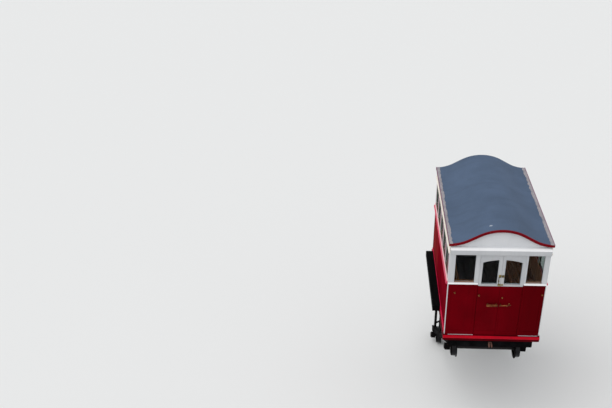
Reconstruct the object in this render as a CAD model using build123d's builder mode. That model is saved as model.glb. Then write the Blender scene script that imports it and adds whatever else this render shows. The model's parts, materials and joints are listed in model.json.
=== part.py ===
from build123d import *
from math import atan, cos, degrees, radians, sin, tan
import os

# A water-balance funicular car, in millimetres. +Z is up, +Y is downhill along the incline and
# +X is to the right for someone who looks downhill. The origin lies on the plane of the two rail
# tops, midway between the four places where the wheels touch.

# Track and running gear
gradient = 0.71
gauge = 1283.0
wheelbase = 2650.0
wheel_radius = 200.0
flange_depth = 26.0
flange_width = 28.0
flange_crest = 12.0
flange_play = 6.0
tread_width = 84.0
rim_depth = 34.0
hub_radius = 75.0
hub_length = 120.0
spoke_count = 6
spoke_root = 50.0
spoke_tip = 36.0
spoke_depth = 30.0
spoke_sink = 8.0
axle_radius = 46.0
journal_radius = 35.0
journal_play = 10.0
bearing_clearance = 0.1

# Cabin
cabin_length = 3170.0
cabin_width = 1916.0
wall = 48.0
beam_height = 145.0
beam_proud = 20.0
beam_depth = 75.0
beam_bevel = 7.0
rail_to_beam = 478.0
uphill_overhang = 400.0
floor_thickness = 30.0
joist_count = 5
joist_width = 60.0
strip_width = 28.0
panel_recess = 6.0
waist_height = 1420.0
waist_rail = 42.0
window_height = 643.0
head_rail = 25.0
cornice_face = 112.0
cornice_fall = 33.0
cornice_proud = 56.0
cornice_bevel = 12.0
cantrail_proud = 12.0
gable_recess = 28.0
glass_thickness = 6.0

# End windows, as seen from outside: left edge, right edge
end_windows = [(-843.0, -452.0), (545.0, 855.0)]
side_window_count = 5
corner_post = 126.0
side_post = 70.0

# Doors: side, hinge edge, width of the outer stile, width of the meeting stile, pull bar's height
door_leaves = [
    ("left", -362.0, 50.0, 73.0, 54.0),
    ("right", 503.0, 61.0, 51.0, 26.0),
]
door_gap = 6.0
door_centre = 70.0
door_thickness = 40.0
door_waist_rail = 4.0
door_head_rail = 110.0
door_arch_radius = 1177.0
hinge_radius = 8.0
knuckle_sides = 6
hinge_stand = 9.0
hinge_length = 90.0
hinge_inset = 179.0
hinge_count = 3
strap_width = 34.0
strap_thickness = 3.0
pull_height = 930.0
pull_length = 236.0
pull_stand = 40.0
pull_thickness = 14.0
pull_bevel = 9.0
pull_foot_size = 15.0
pull_foot_inset = 32.0
pull_inset = 4.0

# Roof, an ogee on both sides of the crown
roof_width = 1990.0
eave_rise = 91.0
crown_rise = 323.0
crown_radius = 886.0
roof_slope = 30.0
roof_overhang = 22.0
roof_thickness = 30.0
barge_depth = 52.0
barge_thickness = 18.0
flashing_width = 56.0
flashing_thickness = 3.0

# Benches
seat_height = 430.0
seat_depth = 370.0
seat_thickness = 32.0
seat_nosing = 40.0
bench_setback = 620.0
bench_back_height = 900.0
bench_back = 26.0

# Underframe
frame_outside = 800.0
channel_width = 55.0
channel_plate = 12.0
top_chord = 100.0
slope_chord = 150.0
slope_chord_lift = 272.0
post_width = 80.0
tail_reach = 130.0
tie_width = 80.0
tie_height = 100.0
diagonal_width = 70.0
diagonal_thickness = 10.0
sway_width = 50.0
headstock_length = 1720.0
headstock_height = 190.0
headstock_front = 30.0
headstock_depth = 50.0
frame_setback = 40.0
transom_height = 100.0
axle_box_size = 146.0
axle_box_length = 104.0
axle_box_gap = 4.0
axle_box_bevel = 24.0
axle_box_wall = 10.0
cap_radius = 54.0
cap_sides = 8
cap_thickness = 12.0

# Water tank and its pipes
tank_width = 1100.0
tank_depth = 950.0
tank_uphill_depth = 240.0
tank_start = 1090.0
bearer_height = 70.0
filler_radius = 55.0
filler_bore = 45.0
filler_length = 160.0
filler_side = 300.0
filler_drop = 150.0
drain_radius = 60.0
drain_bore = 50.0
drain_length = 180.0
drain_setback = 250.0
pipe_flange_reach = 30.0
pipe_flange_thickness = 14.0

# Footboards and the rope's shackle
footboard_outside = 1130.0
footboard_start = 835.0
footboard_length = 2140.0
footboard_height = 140.0
footboard_rise = 82.0
bracket_width = 50.0
bracket_thickness = 10.0
bracket_count = 4
bracket_inset = 60.0
bracket_setback = 20.0
gusset_depth = 64.0
shackle_width = 70.0
shackle_gap = 34.0
shackle_reach = 120.0
shackle_height = 76.0
shackle_plate = 24.0
rope_pin_radius = 14.0

# Where things lie
slope = atan(gradient)
half_width = cabin_width / 2
half_roof = roof_width / 2
beam_uphill = -wheelbase / 2 - uphill_overhang
y_uphill = beam_uphill + beam_proud
y_downhill = y_uphill + cabin_length
y_middle = (y_uphill + y_downhill) / 2
z_base = rail_to_beam - gradient * beam_uphill
z_floor = z_base + beam_height
sill_height = waist_height + waist_rail
window_head = sill_height + window_height
cornice_foot = window_head + head_rail
cornice_top = cornice_foot + cornice_face + cornice_fall
eave_height = cornice_top + eave_rise
along = Vector(0, cos(slope), -sin(slope))
away = Vector(0, sin(slope), cos(slope))
ends = [("uphill", y_uphill, -1), ("downhill", y_downhill, 1)]
sides = [("left", -1), ("right", 1)]

os.makedirs("parts", exist_ok=True)


def save(piece, label):
    piece.part.label = label
    export_step(piece.part, "parts/" + label + ".step")


def end_plane(face, outward, depth):
    # A plane behind an end's outer face; it looks outwards, with its X to the right seen from outside.
    return Plane((0, face - outward * depth, z_base), x_dir=(-outward, 0, 0), z_dir=(0, outward, 0))


def side_plane(outward, depth):
    # A plane behind a side's outer face; it looks outwards, with its X along the car.
    return Plane((outward * (half_width - depth), y_middle, z_base), x_dir=(0, outward, 0), z_dir=(outward, 0, 0))


def side_view(x):
    # A plane across the car at x, seen from the right: its X is downhill and its Y is up.
    return Plane((x, 0, 0), x_dir=(0, 1, 0), z_dir=(1, 0, 0))


def section(y, foot):
    # A section across the car at y, seen from uphill: its X is the car's and its Y is up from foot.
    return Plane((0, y, foot), x_dir=(1, 0, 0), z_dir=(0, -1, 0))


def box_between(low, high):
    # A rectangle in a sketch from its lower left to its upper right corner.
    with Locations(((low[0] + high[0]) / 2, (low[1] + high[1]) / 2)):
        Rectangle(high[0] - low[0], high[1] - low[1])


def block(low, high):
    # A block in a part from its lowest to its highest corner.
    with Locations([tuple((a + b) / 2 for a, b in zip(low, high))]):
        Box(*(b - a for a, b in zip(low, high)))


def channel(plane, width, height, length):
    # A rolled channel along a plane's normal, with its web on the plane's low X side.
    with BuildSketch(plane) as profile:
        Rectangle(width, height)
        with Locations((channel_plate, 0)):
            Rectangle(width, height - 2 * channel_plate, mode=Mode.SUBTRACT)
    extrude(profile.sketch, amount=length)


def pipe(plane, radius, bore, length):
    # A pipe that stands on a plane with a bolting flange at its foot.
    with BuildSketch(plane) as flange:
        Rectangle(2 * (radius + pipe_flange_reach), 2 * (radius + pipe_flange_reach))
    extrude(flange.sketch, amount=pipe_flange_thickness)
    with BuildSketch(plane) as tube:
        Circle(radius)
    extrude(tube.sketch, amount=length)
    with BuildSketch(plane) as hole:
        Circle(bore)
    extrude(hole.sketch, amount=length, mode=Mode.SUBTRACT)


# Bottom beams: a ring of red-painted timber, a little proud of the walls that stand on it
inside_length = cabin_length - 2 * (beam_depth - beam_proud)
inside_width = cabin_width - 2 * (beam_depth - beam_proud)
with BuildPart() as bottom_beams:
    with BuildSketch(Plane.XY.offset(z_base)):
        with Locations((0, y_middle)):
            Rectangle(cabin_width + 2 * beam_proud, cabin_length + 2 * beam_proud)
            Rectangle(inside_width, inside_length, mode=Mode.SUBTRACT)
    extrude(amount=beam_height)
    top_edges = bottom_beams.faces().sort_by(Axis.Z)[-1].outer_wire().edges()
    chamfer(top_edges, length=beam_bevel)
save(bottom_beams, "bottom_beams")

with BuildPart() as floor_boards:
    with BuildSketch(Plane.XY.offset(z_floor - floor_thickness)):
        with Locations((0, y_middle)):
            Rectangle(inside_width, inside_length)
    extrude(amount=floor_thickness)
save(floor_boards, "floor_boards")

with BuildPart() as floor_joists:
    joist_pitch = (inside_length - joist_width) / (joist_count - 1)
    with BuildSketch(Plane.XY.offset(z_base)):
        with Locations((0, y_middle)):
            with GridLocations(1, joist_pitch, 1, joist_count):
                Rectangle(inside_width, joist_width)
    extrude(amount=beam_height - floor_thickness)
save(floor_joists, "floor_joists")

# End walls: a white frame with the end windows and the doorway, and red panels below the waist
door_foot = beam_height + door_gap
door_head = cornice_foot - door_gap
doorway_left = door_leaves[0][1] - door_gap
doorway_right = door_leaves[1][1] + door_gap
for name, face, outward in ends:
    with BuildPart() as end_frame:
        with BuildSketch(end_plane(face, outward, wall)):
            box_between((-half_width, waist_height), (half_width, cornice_top))
            for side, sign in sides:
                with Locations((sign * (half_width - strip_width / 2), (beam_height + waist_height) / 2)):
                    Rectangle(strip_width, waist_height - beam_height)
            for left, right in end_windows:
                with Locations(((left + right) / 2, (sill_height + window_head) / 2)):
                    Rectangle(right - left, window_head - sill_height, mode=Mode.SUBTRACT)
            with Locations(((doorway_left + doorway_right) / 2, (waist_height + cornice_foot) / 2)):
                Rectangle(doorway_right - doorway_left, cornice_foot - waist_height, mode=Mode.SUBTRACT)
        extrude(amount=wall)
    save(end_frame, "end_frame_" + name)

    with BuildPart() as end_panels:
        with BuildSketch(end_plane(face, outward, wall)):
            box_between((-half_width + strip_width, beam_height), (doorway_left, waist_height))
            box_between((doorway_right, beam_height), (half_width - strip_width, waist_height))
        extrude(amount=wall - panel_recess)
    save(end_panels, "end_panels_" + name)

    # The cornice stands out over the doors and windows, with a sloping top that sheds the rain
    with BuildPart() as cornice:
        across = Plane((-outward * half_width, face, z_base), x_dir=(0, outward, 0), z_dir=(outward, 0, 0))
        with BuildSketch(across):
            Polygon(
                (0, cornice_foot),
                (cornice_proud - cornice_bevel, cornice_foot),
                (cornice_proud, cornice_foot + cornice_bevel),
                (cornice_proud, cornice_foot + cornice_face),
                (0, cornice_top),
            )
        extrude(amount=cabin_width)
    save(cornice, "cornice_" + name)

# Side walls: a white window frame over a red panel, with a cantrail below the eave
side_length = cabin_length - 2 * wall
window_run = cabin_length - 2 * corner_post
window_width = (window_run - (side_window_count - 1) * side_post) / side_window_count
window_pitch = window_width + side_post
eave_foot = eave_height - roof_thickness
for name, outward in sides:
    with BuildPart() as side_frame:
        with BuildSketch(side_plane(outward, wall)):
            box_between((-side_length / 2, waist_height), (side_length / 2, eave_foot))
            with Locations((0, (sill_height + window_head) / 2)):
                with GridLocations(window_pitch, 1, side_window_count, 1):
                    Rectangle(window_width, window_head - sill_height, mode=Mode.SUBTRACT)
        extrude(amount=wall)
    save(side_frame, "side_frame_" + name)

    with BuildPart() as side_panel:
        with BuildSketch(side_plane(outward, wall)):
            box_between((-side_length / 2, beam_height), (side_length / 2, waist_height))
        extrude(amount=wall - panel_recess)
    save(side_panel, "side_panel_" + name)

    with BuildPart() as cantrail:
        with BuildSketch(side_plane(outward, 0)):
            box_between((-cabin_length / 2, cornice_foot), (cabin_length / 2, eave_foot))
        extrude(amount=cantrail_proud)
    save(cantrail, "cantrail_" + name)

# Window panes, let into the middle of the walls
with BuildPart() as side_glass:
    for name, outward in sides:
        with BuildSketch(side_plane(outward, (wall + glass_thickness) / 2)):
            with Locations((0, (sill_height + window_head) / 2)):
                with GridLocations(window_pitch, 1, side_window_count, 1):
                    Rectangle(window_width, window_head - sill_height)
        extrude(amount=glass_thickness)
save(side_glass, "side_glass")

with BuildPart() as end_glass:
    for name, face, outward in ends:
        with BuildSketch(end_plane(face, outward, (wall + glass_thickness) / 2)):
            for left, right in end_windows:
                box_between((left, sill_height), (right, window_head))
        extrude(amount=glass_thickness)
save(end_glass, "end_glass")


# Doors: two leaves at each end, whose window heads make one low arch
def arch_height(x):
    drop = door_arch_radius - (door_arch_radius ** 2 - (x - door_centre) ** 2) ** 0.5
    return door_head - door_head_rail - drop


def door_window(outer, inner):
    left, right = sorted((outer, inner))
    middle = (left + right) / 2
    with BuildLine() as outline:
        Polyline(
            (left, arch_height(left)),
            (left, waist_height + door_waist_rail),
            (right, waist_height + door_waist_rail),
            (right, arch_height(right)),
        )
        ThreePointArc((right, arch_height(right)), (middle, arch_height(middle)), (left, arch_height(left)))
    return outline.edges()


hinge_pitch = (door_head - door_foot - 2 * hinge_inset - hinge_length) / (hinge_count - 1)
for end, face, outward in ends:
    for side, hinge_edge, outer_stile, meeting_stile, bar_height in door_leaves:
        inward = 1 if hinge_edge < door_centre else -1
        meeting_edge = door_centre - inward * door_gap / 2
        pane = (hinge_edge + inward * outer_stile, meeting_edge - inward * meeting_stile)
        low_x, high_x = sorted((hinge_edge, meeting_edge))
        hinge_x = hinge_edge - inward * door_gap / 2
        strap_left, strap_right = sorted((hinge_x, hinge_edge + inward * strap_width))
        with BuildPart() as door_leaf:
            with BuildSketch(end_plane(face, outward, door_thickness)):
                box_between((low_x, door_foot), (high_x, door_head))
            extrude(amount=door_thickness)
            with BuildSketch(end_plane(face, outward, door_thickness)):
                make_face(door_window(*pane))
            extrude(amount=door_thickness, mode=Mode.SUBTRACT)
            for index in range(hinge_count):
                height = door_foot + hinge_inset + index * hinge_pitch
                with BuildSketch(end_plane(face, outward, 0)):
                    box_between((strap_left, height), (strap_right, height + hinge_length))
                extrude(amount=strap_thickness)
                with BuildSketch(Plane.XY.offset(z_base + height)):
                    with Locations((-outward * hinge_x, face + outward * hinge_stand)):
                        RegularPolygon(hinge_radius, knuckle_sides)
                extrude(amount=hinge_length)
        save(door_leaf, "door_" + end + "_" + side)

        with BuildPart() as door_glass:
            with BuildSketch(end_plane(face, outward, (door_thickness + glass_thickness) / 2)):
                make_face(door_window(*pane))
            extrude(amount=glass_thickness)
        save(door_glass, "door_glass_" + end + "_" + side)

        # Brass pull bar on two feet, one half on each leaf, ending close to the meeting edge
        with BuildPart() as pull_bar:
            bar_middle = meeting_edge - inward * (pull_inset + pull_length / 2)
            with BuildSketch(end_plane(face, outward, -pull_stand)):
                with Locations((bar_middle, pull_height)):
                    bar_outline = Rectangle(pull_length, bar_height)
                chamfer(bar_outline.vertices(), length=pull_bevel)
            extrude(amount=pull_thickness)
            with BuildSketch(end_plane(face, outward, 0)):
                with Locations((bar_middle, pull_height)):
                    with GridLocations(pull_length - 2 * pull_foot_inset, 1, 2, 1):
                        Rectangle(pull_foot_size, pull_foot_size)
            extrude(amount=pull_stand)
        save(pull_bar, "pull_bar_" + end + "_" + side)


# Roof: one ogee section from eave to eave, with a straight run between its two curves
half_turn = radians(roof_slope)
crown_height = eave_height + crown_rise
straight = crown_rise / tan(half_turn / 2) - half_roof
eave_radius = (half_roof - straight * cos(half_turn)) / sin(half_turn) - crown_radius


def crown_point(angle, inset):
    reach = crown_radius - inset
    return Vector(reach * sin(angle), crown_height - crown_radius + reach * cos(angle))


def eave_point(angle, inset):
    reach = eave_radius + inset
    return Vector(half_roof - reach * sin(angle), eave_height + eave_radius - reach * cos(angle))


def mirrored(point, sign):
    return (sign * point.X, point.Y)


def ogee(top, foot):
    # The closed band between two insets below the roof's upper surface.
    rows = []
    for inset in (top, foot):
        rows.append([eave_point(0, inset), eave_point(half_turn / 2, inset), eave_point(half_turn, inset),
                     crown_point(half_turn, inset), crown_point(0, inset)])
    with BuildLine() as outline:
        for eave, mid_eave, knee, shoulder, crown in rows:
            for sign in (1, -1):
                ThreePointArc(mirrored(eave, sign), mirrored(mid_eave, sign), mirrored(knee, sign))
                Line(mirrored(knee, sign), mirrored(shoulder, sign))
            ThreePointArc(mirrored(shoulder, 1), mirrored(crown, 1), mirrored(shoulder, -1))
        for sign in (1, -1):
            Line(mirrored(rows[0][0], sign), mirrored(rows[1][0], sign))
    return outline.edges()


roof_start = y_uphill - roof_overhang
roof_end = y_downhill + roof_overhang
with BuildPart() as roof_shell:
    with BuildSketch(section(roof_end - barge_thickness, z_base)):
        make_face(ogee(0, roof_thickness))
    extrude(amount=roof_end - roof_start - 2 * barge_thickness)
save(roof_shell, "roof_shell")

with BuildPart() as barge_boards:
    for y in (roof_start + barge_thickness, roof_end):
        with BuildSketch(section(y, z_base)):
            make_face(ogee(0, barge_depth))
        extrude(amount=barge_thickness)
save(barge_boards, "barge_boards")

with BuildPart() as eave_flashings:
    turn = flashing_width / eave_radius
    with BuildSketch(section(roof_end, z_base)):
        for side, sign in sides:
            with BuildLine():
                for inset in (0, -flashing_thickness):
                    ThreePointArc(mirrored(eave_point(0, inset), sign), mirrored(eave_point(turn / 2, inset), sign),
                                  mirrored(eave_point(turn, inset), sign))
                for angle in (0, turn):
                    Line(mirrored(eave_point(angle, 0), sign), mirrored(eave_point(angle, -flashing_thickness), sign))
            make_face()
    extrude(amount=roof_end - roof_start)
save(eave_flashings, "eave_flashings")

# Gables: thin panels set back under the barge boards
with BuildPart() as gables:
    for name, face, outward in ends:
        with BuildSketch(end_plane(face, outward, wall)):
            with BuildLine():
                inset = roof_thickness
                for side, sign in sides:
                    ThreePointArc(mirrored(eave_point(0, inset), sign), mirrored(eave_point(half_turn / 2, inset), sign),
                                  mirrored(eave_point(half_turn, inset), sign))
                    Line(mirrored(eave_point(half_turn, inset), sign), mirrored(crown_point(half_turn, inset), sign))
                    Line(mirrored(eave_point(0, inset), sign), (sign * half_roof, cornice_top))
                ThreePointArc(mirrored(crown_point(half_turn, inset), 1), mirrored(crown_point(0, inset), 1),
                              mirrored(crown_point(half_turn, inset), -1))
                Line((half_roof, cornice_top), (-half_roof, cornice_top))
            make_face()
            with Locations((0, (cornice_top + crown_height) / 2)):
                Rectangle(cabin_width, crown_height - cornice_top, mode=Mode.INTERSECT)
        extrude(amount=wall - gable_recess)
save(gables, "gables")

# Benches along both sides, clear of the doors
half_bench = cabin_length / 2 - bench_setback
seat_foot = beam_height + seat_height - seat_thickness
seat_top = beam_height + seat_height
for name, outward in sides:
    with BuildPart() as bench:
        with BuildSketch(side_plane(outward, wall + seat_depth)):
            box_between((-half_bench, seat_foot), (half_bench, seat_top))
        extrude(amount=seat_depth)
        with BuildSketch(side_plane(outward, wall + bench_back)):
            box_between((-half_bench, seat_top), (half_bench, beam_height + bench_back_height))
        extrude(amount=bench_back)
        with BuildSketch(side_plane(outward, wall + seat_depth - seat_nosing)):
            box_between((-half_bench, beam_height), (half_bench, seat_foot))
        extrude(amount=seat_depth - seat_nosing)
    save(bench, "bench_" + name)

# Underframe: a wedge between the level cabin and the sloping rails, of channels that open inwards
frame_start = y_uphill + headstock_front + headstock_depth
frame_end = y_downhill - frame_setback
tank_top = z_base - transom_height
tank_foot = tank_top - tank_depth
tank_uphill = y_uphill + tank_start
tank_knee = tank_uphill + (tank_depth - tank_uphill_depth) / gradient
posts = [tank_uphill + post_width / 2, tank_knee + post_width / 2, frame_end - post_width / 2]
chord_top = slope_chord_lift + slope_chord
chord_middle = slope_chord_lift + slope_chord / 2
chord_tail = (y_downhill + tail_reach) / cos(slope)
inner_face = frame_outside - channel_width
web_face = frame_outside - channel_plate


def slope_point(distance, lift):
    # A point on the side view, measured along the rails from the origin and square up from them.
    spot = along * distance + away * lift
    return (spot.Y, spot.Z)


def chord_height(y, lift):
    # The height at y of a line that runs along the rails at a lift above them.
    return -gradient * y + lift / cos(slope)


def chord_between(tail, low, high):
    # A band of the side view along the rails, cut upright at its start and square at its tail.
    Polygon(
        (frame_start, chord_height(frame_start, low)),
        slope_point(tail, low),
        slope_point(tail, high),
        (frame_start, chord_height(frame_start, high)),
    )


def post_between(left, right, foot, head):
    # An upright band of the side view, whose foot follows the rails at a lift.
    Polygon((left, chord_height(left, foot)), (right, chord_height(right, foot)), (right, head), (left, head))


for name, outward in sides:
    with BuildPart() as wedge_frame:
        with BuildSketch(side_view(outward * frame_outside)):
            box_between((frame_start, z_base - top_chord), (frame_end, z_base))
            chord_between(chord_tail, slope_chord_lift, chord_top)
            for y in posts:
                post_between(y - post_width / 2, y + post_width / 2, chord_middle, z_base - top_chord / 2)
        extrude(amount=-outward * channel_width)
        # What lies between the flanges of each channel
        with BuildSketch(side_view(outward * web_face)):
            box_between((frame_start, z_base - top_chord + channel_plate), (frame_end - channel_plate, z_base - channel_plate))
            chord_between(chord_tail - channel_plate, slope_chord_lift + channel_plate, chord_top - channel_plate)
            pocket = post_width / 2 - channel_plate
            for y in posts:
                post_between(y - pocket, y + pocket, chord_top, z_base - top_chord)
        extrude(amount=-outward * channel_width, mode=Mode.SUBTRACT)
    save(wedge_frame, "wedge_frame_" + name)

# Flat diagonals on the outside of the two deep bays, and a pair that crosses between the last posts
with BuildPart() as frame_diagonals:
    for name, outward in sides:
        for upper, lower in zip(posts, posts[1:]):
            start = Vector(upper, z_base - top_chord - diagonal_width)
            finish = Vector(lower, chord_height(lower, chord_middle))
            run = finish - start
            with BuildSketch(side_view(outward * frame_outside)):
                with Locations(((start.X + finish.X) / 2, (start.Y + finish.Y) / 2)):
                    Rectangle(run.length, diagonal_width, rotation=degrees(atan(run.Y / run.X)))
            extrude(amount=outward * diagonal_thickness)
    sway_head = tank_foot - bearer_height - sway_width
    sway_foot = chord_height(frame_end - post_width, chord_top) + sway_width
    sway_side = inner_face + channel_width / 2
    sway_run = Vector(2 * sway_side, sway_head - sway_foot)
    sway_turn = degrees(atan(sway_run.Y / sway_run.X))
    for y, turned in ((frame_end + diagonal_thickness, sway_turn), (frame_end - post_width, -sway_turn)):
        with BuildSketch(section(y, (sway_head + sway_foot) / 2)):
            Rectangle(sway_run.length, sway_width, rotation=turned)
        extrude(amount=diagonal_thickness)
save(frame_diagonals, "frame_diagonals")

with BuildPart() as headstock:
    middle = (-headstock_length / 2, frame_start - headstock_depth / 2, z_base - headstock_height / 2)
    channel(Plane(middle, x_dir=(0, 1, 0), z_dir=(1, 0, 0)), headstock_depth, headstock_height, headstock_length)
save(headstock, "headstock")

# Cross members: three under the floor, and three between the webs of the sloping channels
with BuildPart() as transoms:
    for y in posts:
        across = Plane((-inner_face, y, z_base - transom_height / 2), x_dir=(0, 1, 0), z_dir=(1, 0, 0))
        channel(across, post_width, transom_height, 2 * inner_face)
    tie_places = [(y - chord_middle * sin(slope)) / cos(slope) for y in posts[:-1]]
    tie_places.append(chord_tail - channel_plate - tie_width / 2)
    for distance in tie_places:
        across = Plane((-web_face, *slope_point(distance, chord_middle)), x_dir=along, z_dir=(1, 0, 0))
        channel(across, tie_width, tie_height, 2 * web_face)
save(transoms, "transoms")

# Water tank, with a bottom that follows the rails towards the uphill end
with BuildPart() as water_tank:
    with BuildSketch(side_view(-tank_width / 2)):
        Polygon(
            (tank_uphill, tank_top),
            (tank_uphill, tank_top - tank_uphill_depth),
            (tank_knee, tank_foot),
            (frame_end, tank_foot),
            (frame_end, tank_top),
        )
    extrude(amount=tank_width)
save(water_tank, "water_tank")

with BuildPart() as tank_bearers:
    for y in posts[1:]:
        across = Plane((-inner_face, y, tank_foot - bearer_height / 2), x_dir=(0, 1, 0), z_dir=(1, 0, 0))
        channel(across, post_width, bearer_height, 2 * inner_face)
save(tank_bearers, "tank_bearers")

# The filling pipe points uphill and the drain points down
with BuildPart() as tank_pipes:
    filler_foot = (filler_side, tank_uphill, tank_top - filler_drop)
    pipe(Plane(filler_foot, x_dir=(1, 0, 0), z_dir=(0, -1, 0)), filler_radius, filler_bore, filler_length)
    drain_foot = (0, frame_end - drain_setback, tank_foot)
    pipe(Plane(drain_foot, x_dir=(1, 0, 0), z_dir=(0, 0, -1)), drain_radius, drain_bore, drain_length)
save(tank_pipes, "tank_pipes")

# Wheelsets: the flanges run inside the rails, and the journals run in boxes outside the wheels
flange_back = gauge / 2 - flange_play - flange_width
flange_radius = wheel_radius + flange_depth
rim_foot = wheel_radius - rim_depth
tread_end = flange_width + tread_width
box_inside = inner_face + axle_box_gap
box_outside = box_inside + axle_box_length
journal_end = box_outside - axle_box_wall - journal_play
axle_places = [("uphill", -wheelbase / 2), ("downhill", wheelbase / 2)]
for name, contact in axle_places:
    centre = Vector(0, contact, -gradient * contact) + away * wheel_radius
    with BuildPart() as wheels:
        for side, sign in sides:
            # In the profile, X is the radius and Y runs outwards from the back of the flange
            back = (sign * flange_back, centre.Y, centre.Z)
            with BuildSketch(Plane(back, x_dir=(0, 0, 1), z_dir=(0, sign, 0))):
                Polygon(
                    (rim_foot, 0),
                    (flange_radius, 0),
                    (flange_radius, flange_crest),
                    (wheel_radius, flange_width),
                    (wheel_radius, tread_end),
                    (rim_foot, tread_end),
                )
                box_between((axle_radius, 0), (hub_radius, hub_length))
            revolve(axis=Axis(centre, (1, 0, 0)))
            spoke_face = Plane(back, x_dir=(0, 1, 0), z_dir=(sign, 0, 0)).offset((tread_end - spoke_depth) / 2)
            with BuildSketch(spoke_face):
                with PolarLocations(0, spoke_count):
                    Polygon(
                        (hub_radius - spoke_sink, -spoke_root / 2),
                        (rim_foot + spoke_sink, -spoke_tip / 2),
                        (rim_foot + spoke_sink, spoke_tip / 2),
                        (hub_radius - spoke_sink, spoke_root / 2),
                    )
            extrude(amount=spoke_depth)
    save(wheels, "wheels_" + name)

    with BuildPart() as axle:
        axle_plane = Plane(centre, x_dir=(0, 1, 0), z_dir=(1, 0, 0))
        wheel_seat = flange_back + hub_length
        for radius, reach in ((axle_radius, wheel_seat), (journal_radius, journal_end)):
            with BuildSketch(axle_plane.offset(-reach)):
                Circle(radius)
            extrude(amount=2 * reach)
    save(axle, "axle_" + name)

with BuildPart() as axle_boxes:
    for name, contact in axle_places:
        centre = Vector(0, contact, -gradient * contact) + away * wheel_radius
        for side, sign in sides:
            box_plane = Plane((sign * box_inside, centre.Y, centre.Z), x_dir=along * sign, z_dir=(sign, 0, 0))
            half_box = axle_box_size / 2
            with BuildSketch(box_plane) as box_outline:
                box_between((-half_box, -half_box), (half_box, slope_chord_lift - wheel_radius))
                chamfer(box_outline.vertices().group_by(Axis.Y)[0], length=axle_box_bevel)
            extrude(amount=axle_box_length)
            with BuildSketch(box_plane.offset(axle_box_length)):
                RegularPolygon(cap_radius, cap_sides)
            extrude(amount=cap_thickness)
            with BuildSketch(box_plane):
                Circle(journal_radius + bearing_clearance)
            extrude(amount=axle_box_length - axle_box_wall, mode=Mode.SUBTRACT)
save(axle_boxes, "axle_boxes")

# Boxed footboards that hook over the bottom beams, each on flat brackets with a gusset under them
board_start = y_uphill + footboard_start
board_top = z_floor + footboard_rise
board_foot = board_top - footboard_height
bracket_foot = board_foot - bracket_thickness
beam_face = half_width + beam_proud
panel_face = half_width - panel_recess
bracket_outside = footboard_outside - bracket_setback
bracket_run = footboard_length - 2 * bracket_inset - bracket_width
for name, outward in sides:
    with BuildPart() as footboard:
        with BuildSketch(section(board_start + footboard_length, 0)):
            Polygon(
                (outward * panel_face, z_floor),
                (outward * beam_face, z_floor),
                (outward * beam_face, board_foot),
                (outward * footboard_outside, board_foot),
                (outward * footboard_outside, board_top),
                (outward * panel_face, board_top),
            )
        extrude(amount=footboard_length)
    save(footboard, "footboard_" + name)

with BuildPart() as footboard_brackets:
    for index in range(bracket_count):
        y = board_start + bracket_inset + bracket_width / 2 + index * bracket_run / (bracket_count - 1)
        for name, outward in sides:
            low_x, high_x = sorted((outward * beam_face, outward * bracket_outside))
            block((low_x, y - bracket_width / 2, bracket_foot), (high_x, y + bracket_width / 2, board_foot))
            with BuildSketch(section(y + bracket_thickness / 2, bracket_foot)):
                Polygon((outward * beam_face, 0), (outward * beam_face, -gusset_depth), (outward * bracket_outside, 0))
            extrude(amount=bracket_thickness)
save(footboard_brackets, "footboard_brackets")

# Rope shackle: two ears on the headstock with a bore for the rope's pin
with BuildPart() as rope_shackle:
    ear = (shackle_width - shackle_gap) / 2
    front = y_uphill + headstock_front
    middle_z = z_base - headstock_height / 2
    eye = shackle_height / 2
    for side, sign in sides:
        with BuildSketch(Plane((sign * shackle_gap / 2, front, middle_z), x_dir=(0, 1, 0), z_dir=(1, 0, 0))):
            box_between((eye - shackle_reach, -eye), (0, eye))
            with Locations((eye - shackle_reach, 0)):
                Circle(eye)
                Circle(rope_pin_radius, mode=Mode.SUBTRACT)
        extrude(amount=sign * ear)
    block((-shackle_width / 2, front - shackle_plate, middle_z - eye), (shackle_width / 2, front, middle_z + eye))
save(rope_shackle, "rope_shackle")
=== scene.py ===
import json
import math
import random
import bmesh
import bpy
from mathutils import Matrix, Vector


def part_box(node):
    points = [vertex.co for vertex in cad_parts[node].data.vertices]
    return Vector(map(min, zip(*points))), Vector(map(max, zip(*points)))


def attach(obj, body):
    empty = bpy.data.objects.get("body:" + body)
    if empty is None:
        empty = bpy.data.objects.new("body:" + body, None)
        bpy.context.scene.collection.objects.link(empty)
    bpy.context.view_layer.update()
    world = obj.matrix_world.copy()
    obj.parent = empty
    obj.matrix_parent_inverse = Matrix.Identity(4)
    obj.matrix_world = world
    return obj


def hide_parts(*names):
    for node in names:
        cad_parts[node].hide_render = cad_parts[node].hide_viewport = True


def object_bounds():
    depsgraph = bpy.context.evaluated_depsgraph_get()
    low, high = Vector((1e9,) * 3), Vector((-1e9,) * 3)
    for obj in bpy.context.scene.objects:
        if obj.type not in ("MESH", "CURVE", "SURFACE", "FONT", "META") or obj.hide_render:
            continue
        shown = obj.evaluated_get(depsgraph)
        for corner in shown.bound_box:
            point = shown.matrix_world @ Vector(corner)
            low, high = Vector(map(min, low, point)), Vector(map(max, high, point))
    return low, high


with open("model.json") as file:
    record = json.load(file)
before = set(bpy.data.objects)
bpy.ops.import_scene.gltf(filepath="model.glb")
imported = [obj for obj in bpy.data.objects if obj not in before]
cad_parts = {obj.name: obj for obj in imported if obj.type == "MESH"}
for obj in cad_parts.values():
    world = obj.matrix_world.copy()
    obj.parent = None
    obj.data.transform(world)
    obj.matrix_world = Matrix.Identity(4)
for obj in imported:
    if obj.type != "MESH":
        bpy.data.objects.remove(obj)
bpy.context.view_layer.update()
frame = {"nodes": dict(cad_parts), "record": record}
print("frame loaded")

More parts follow.
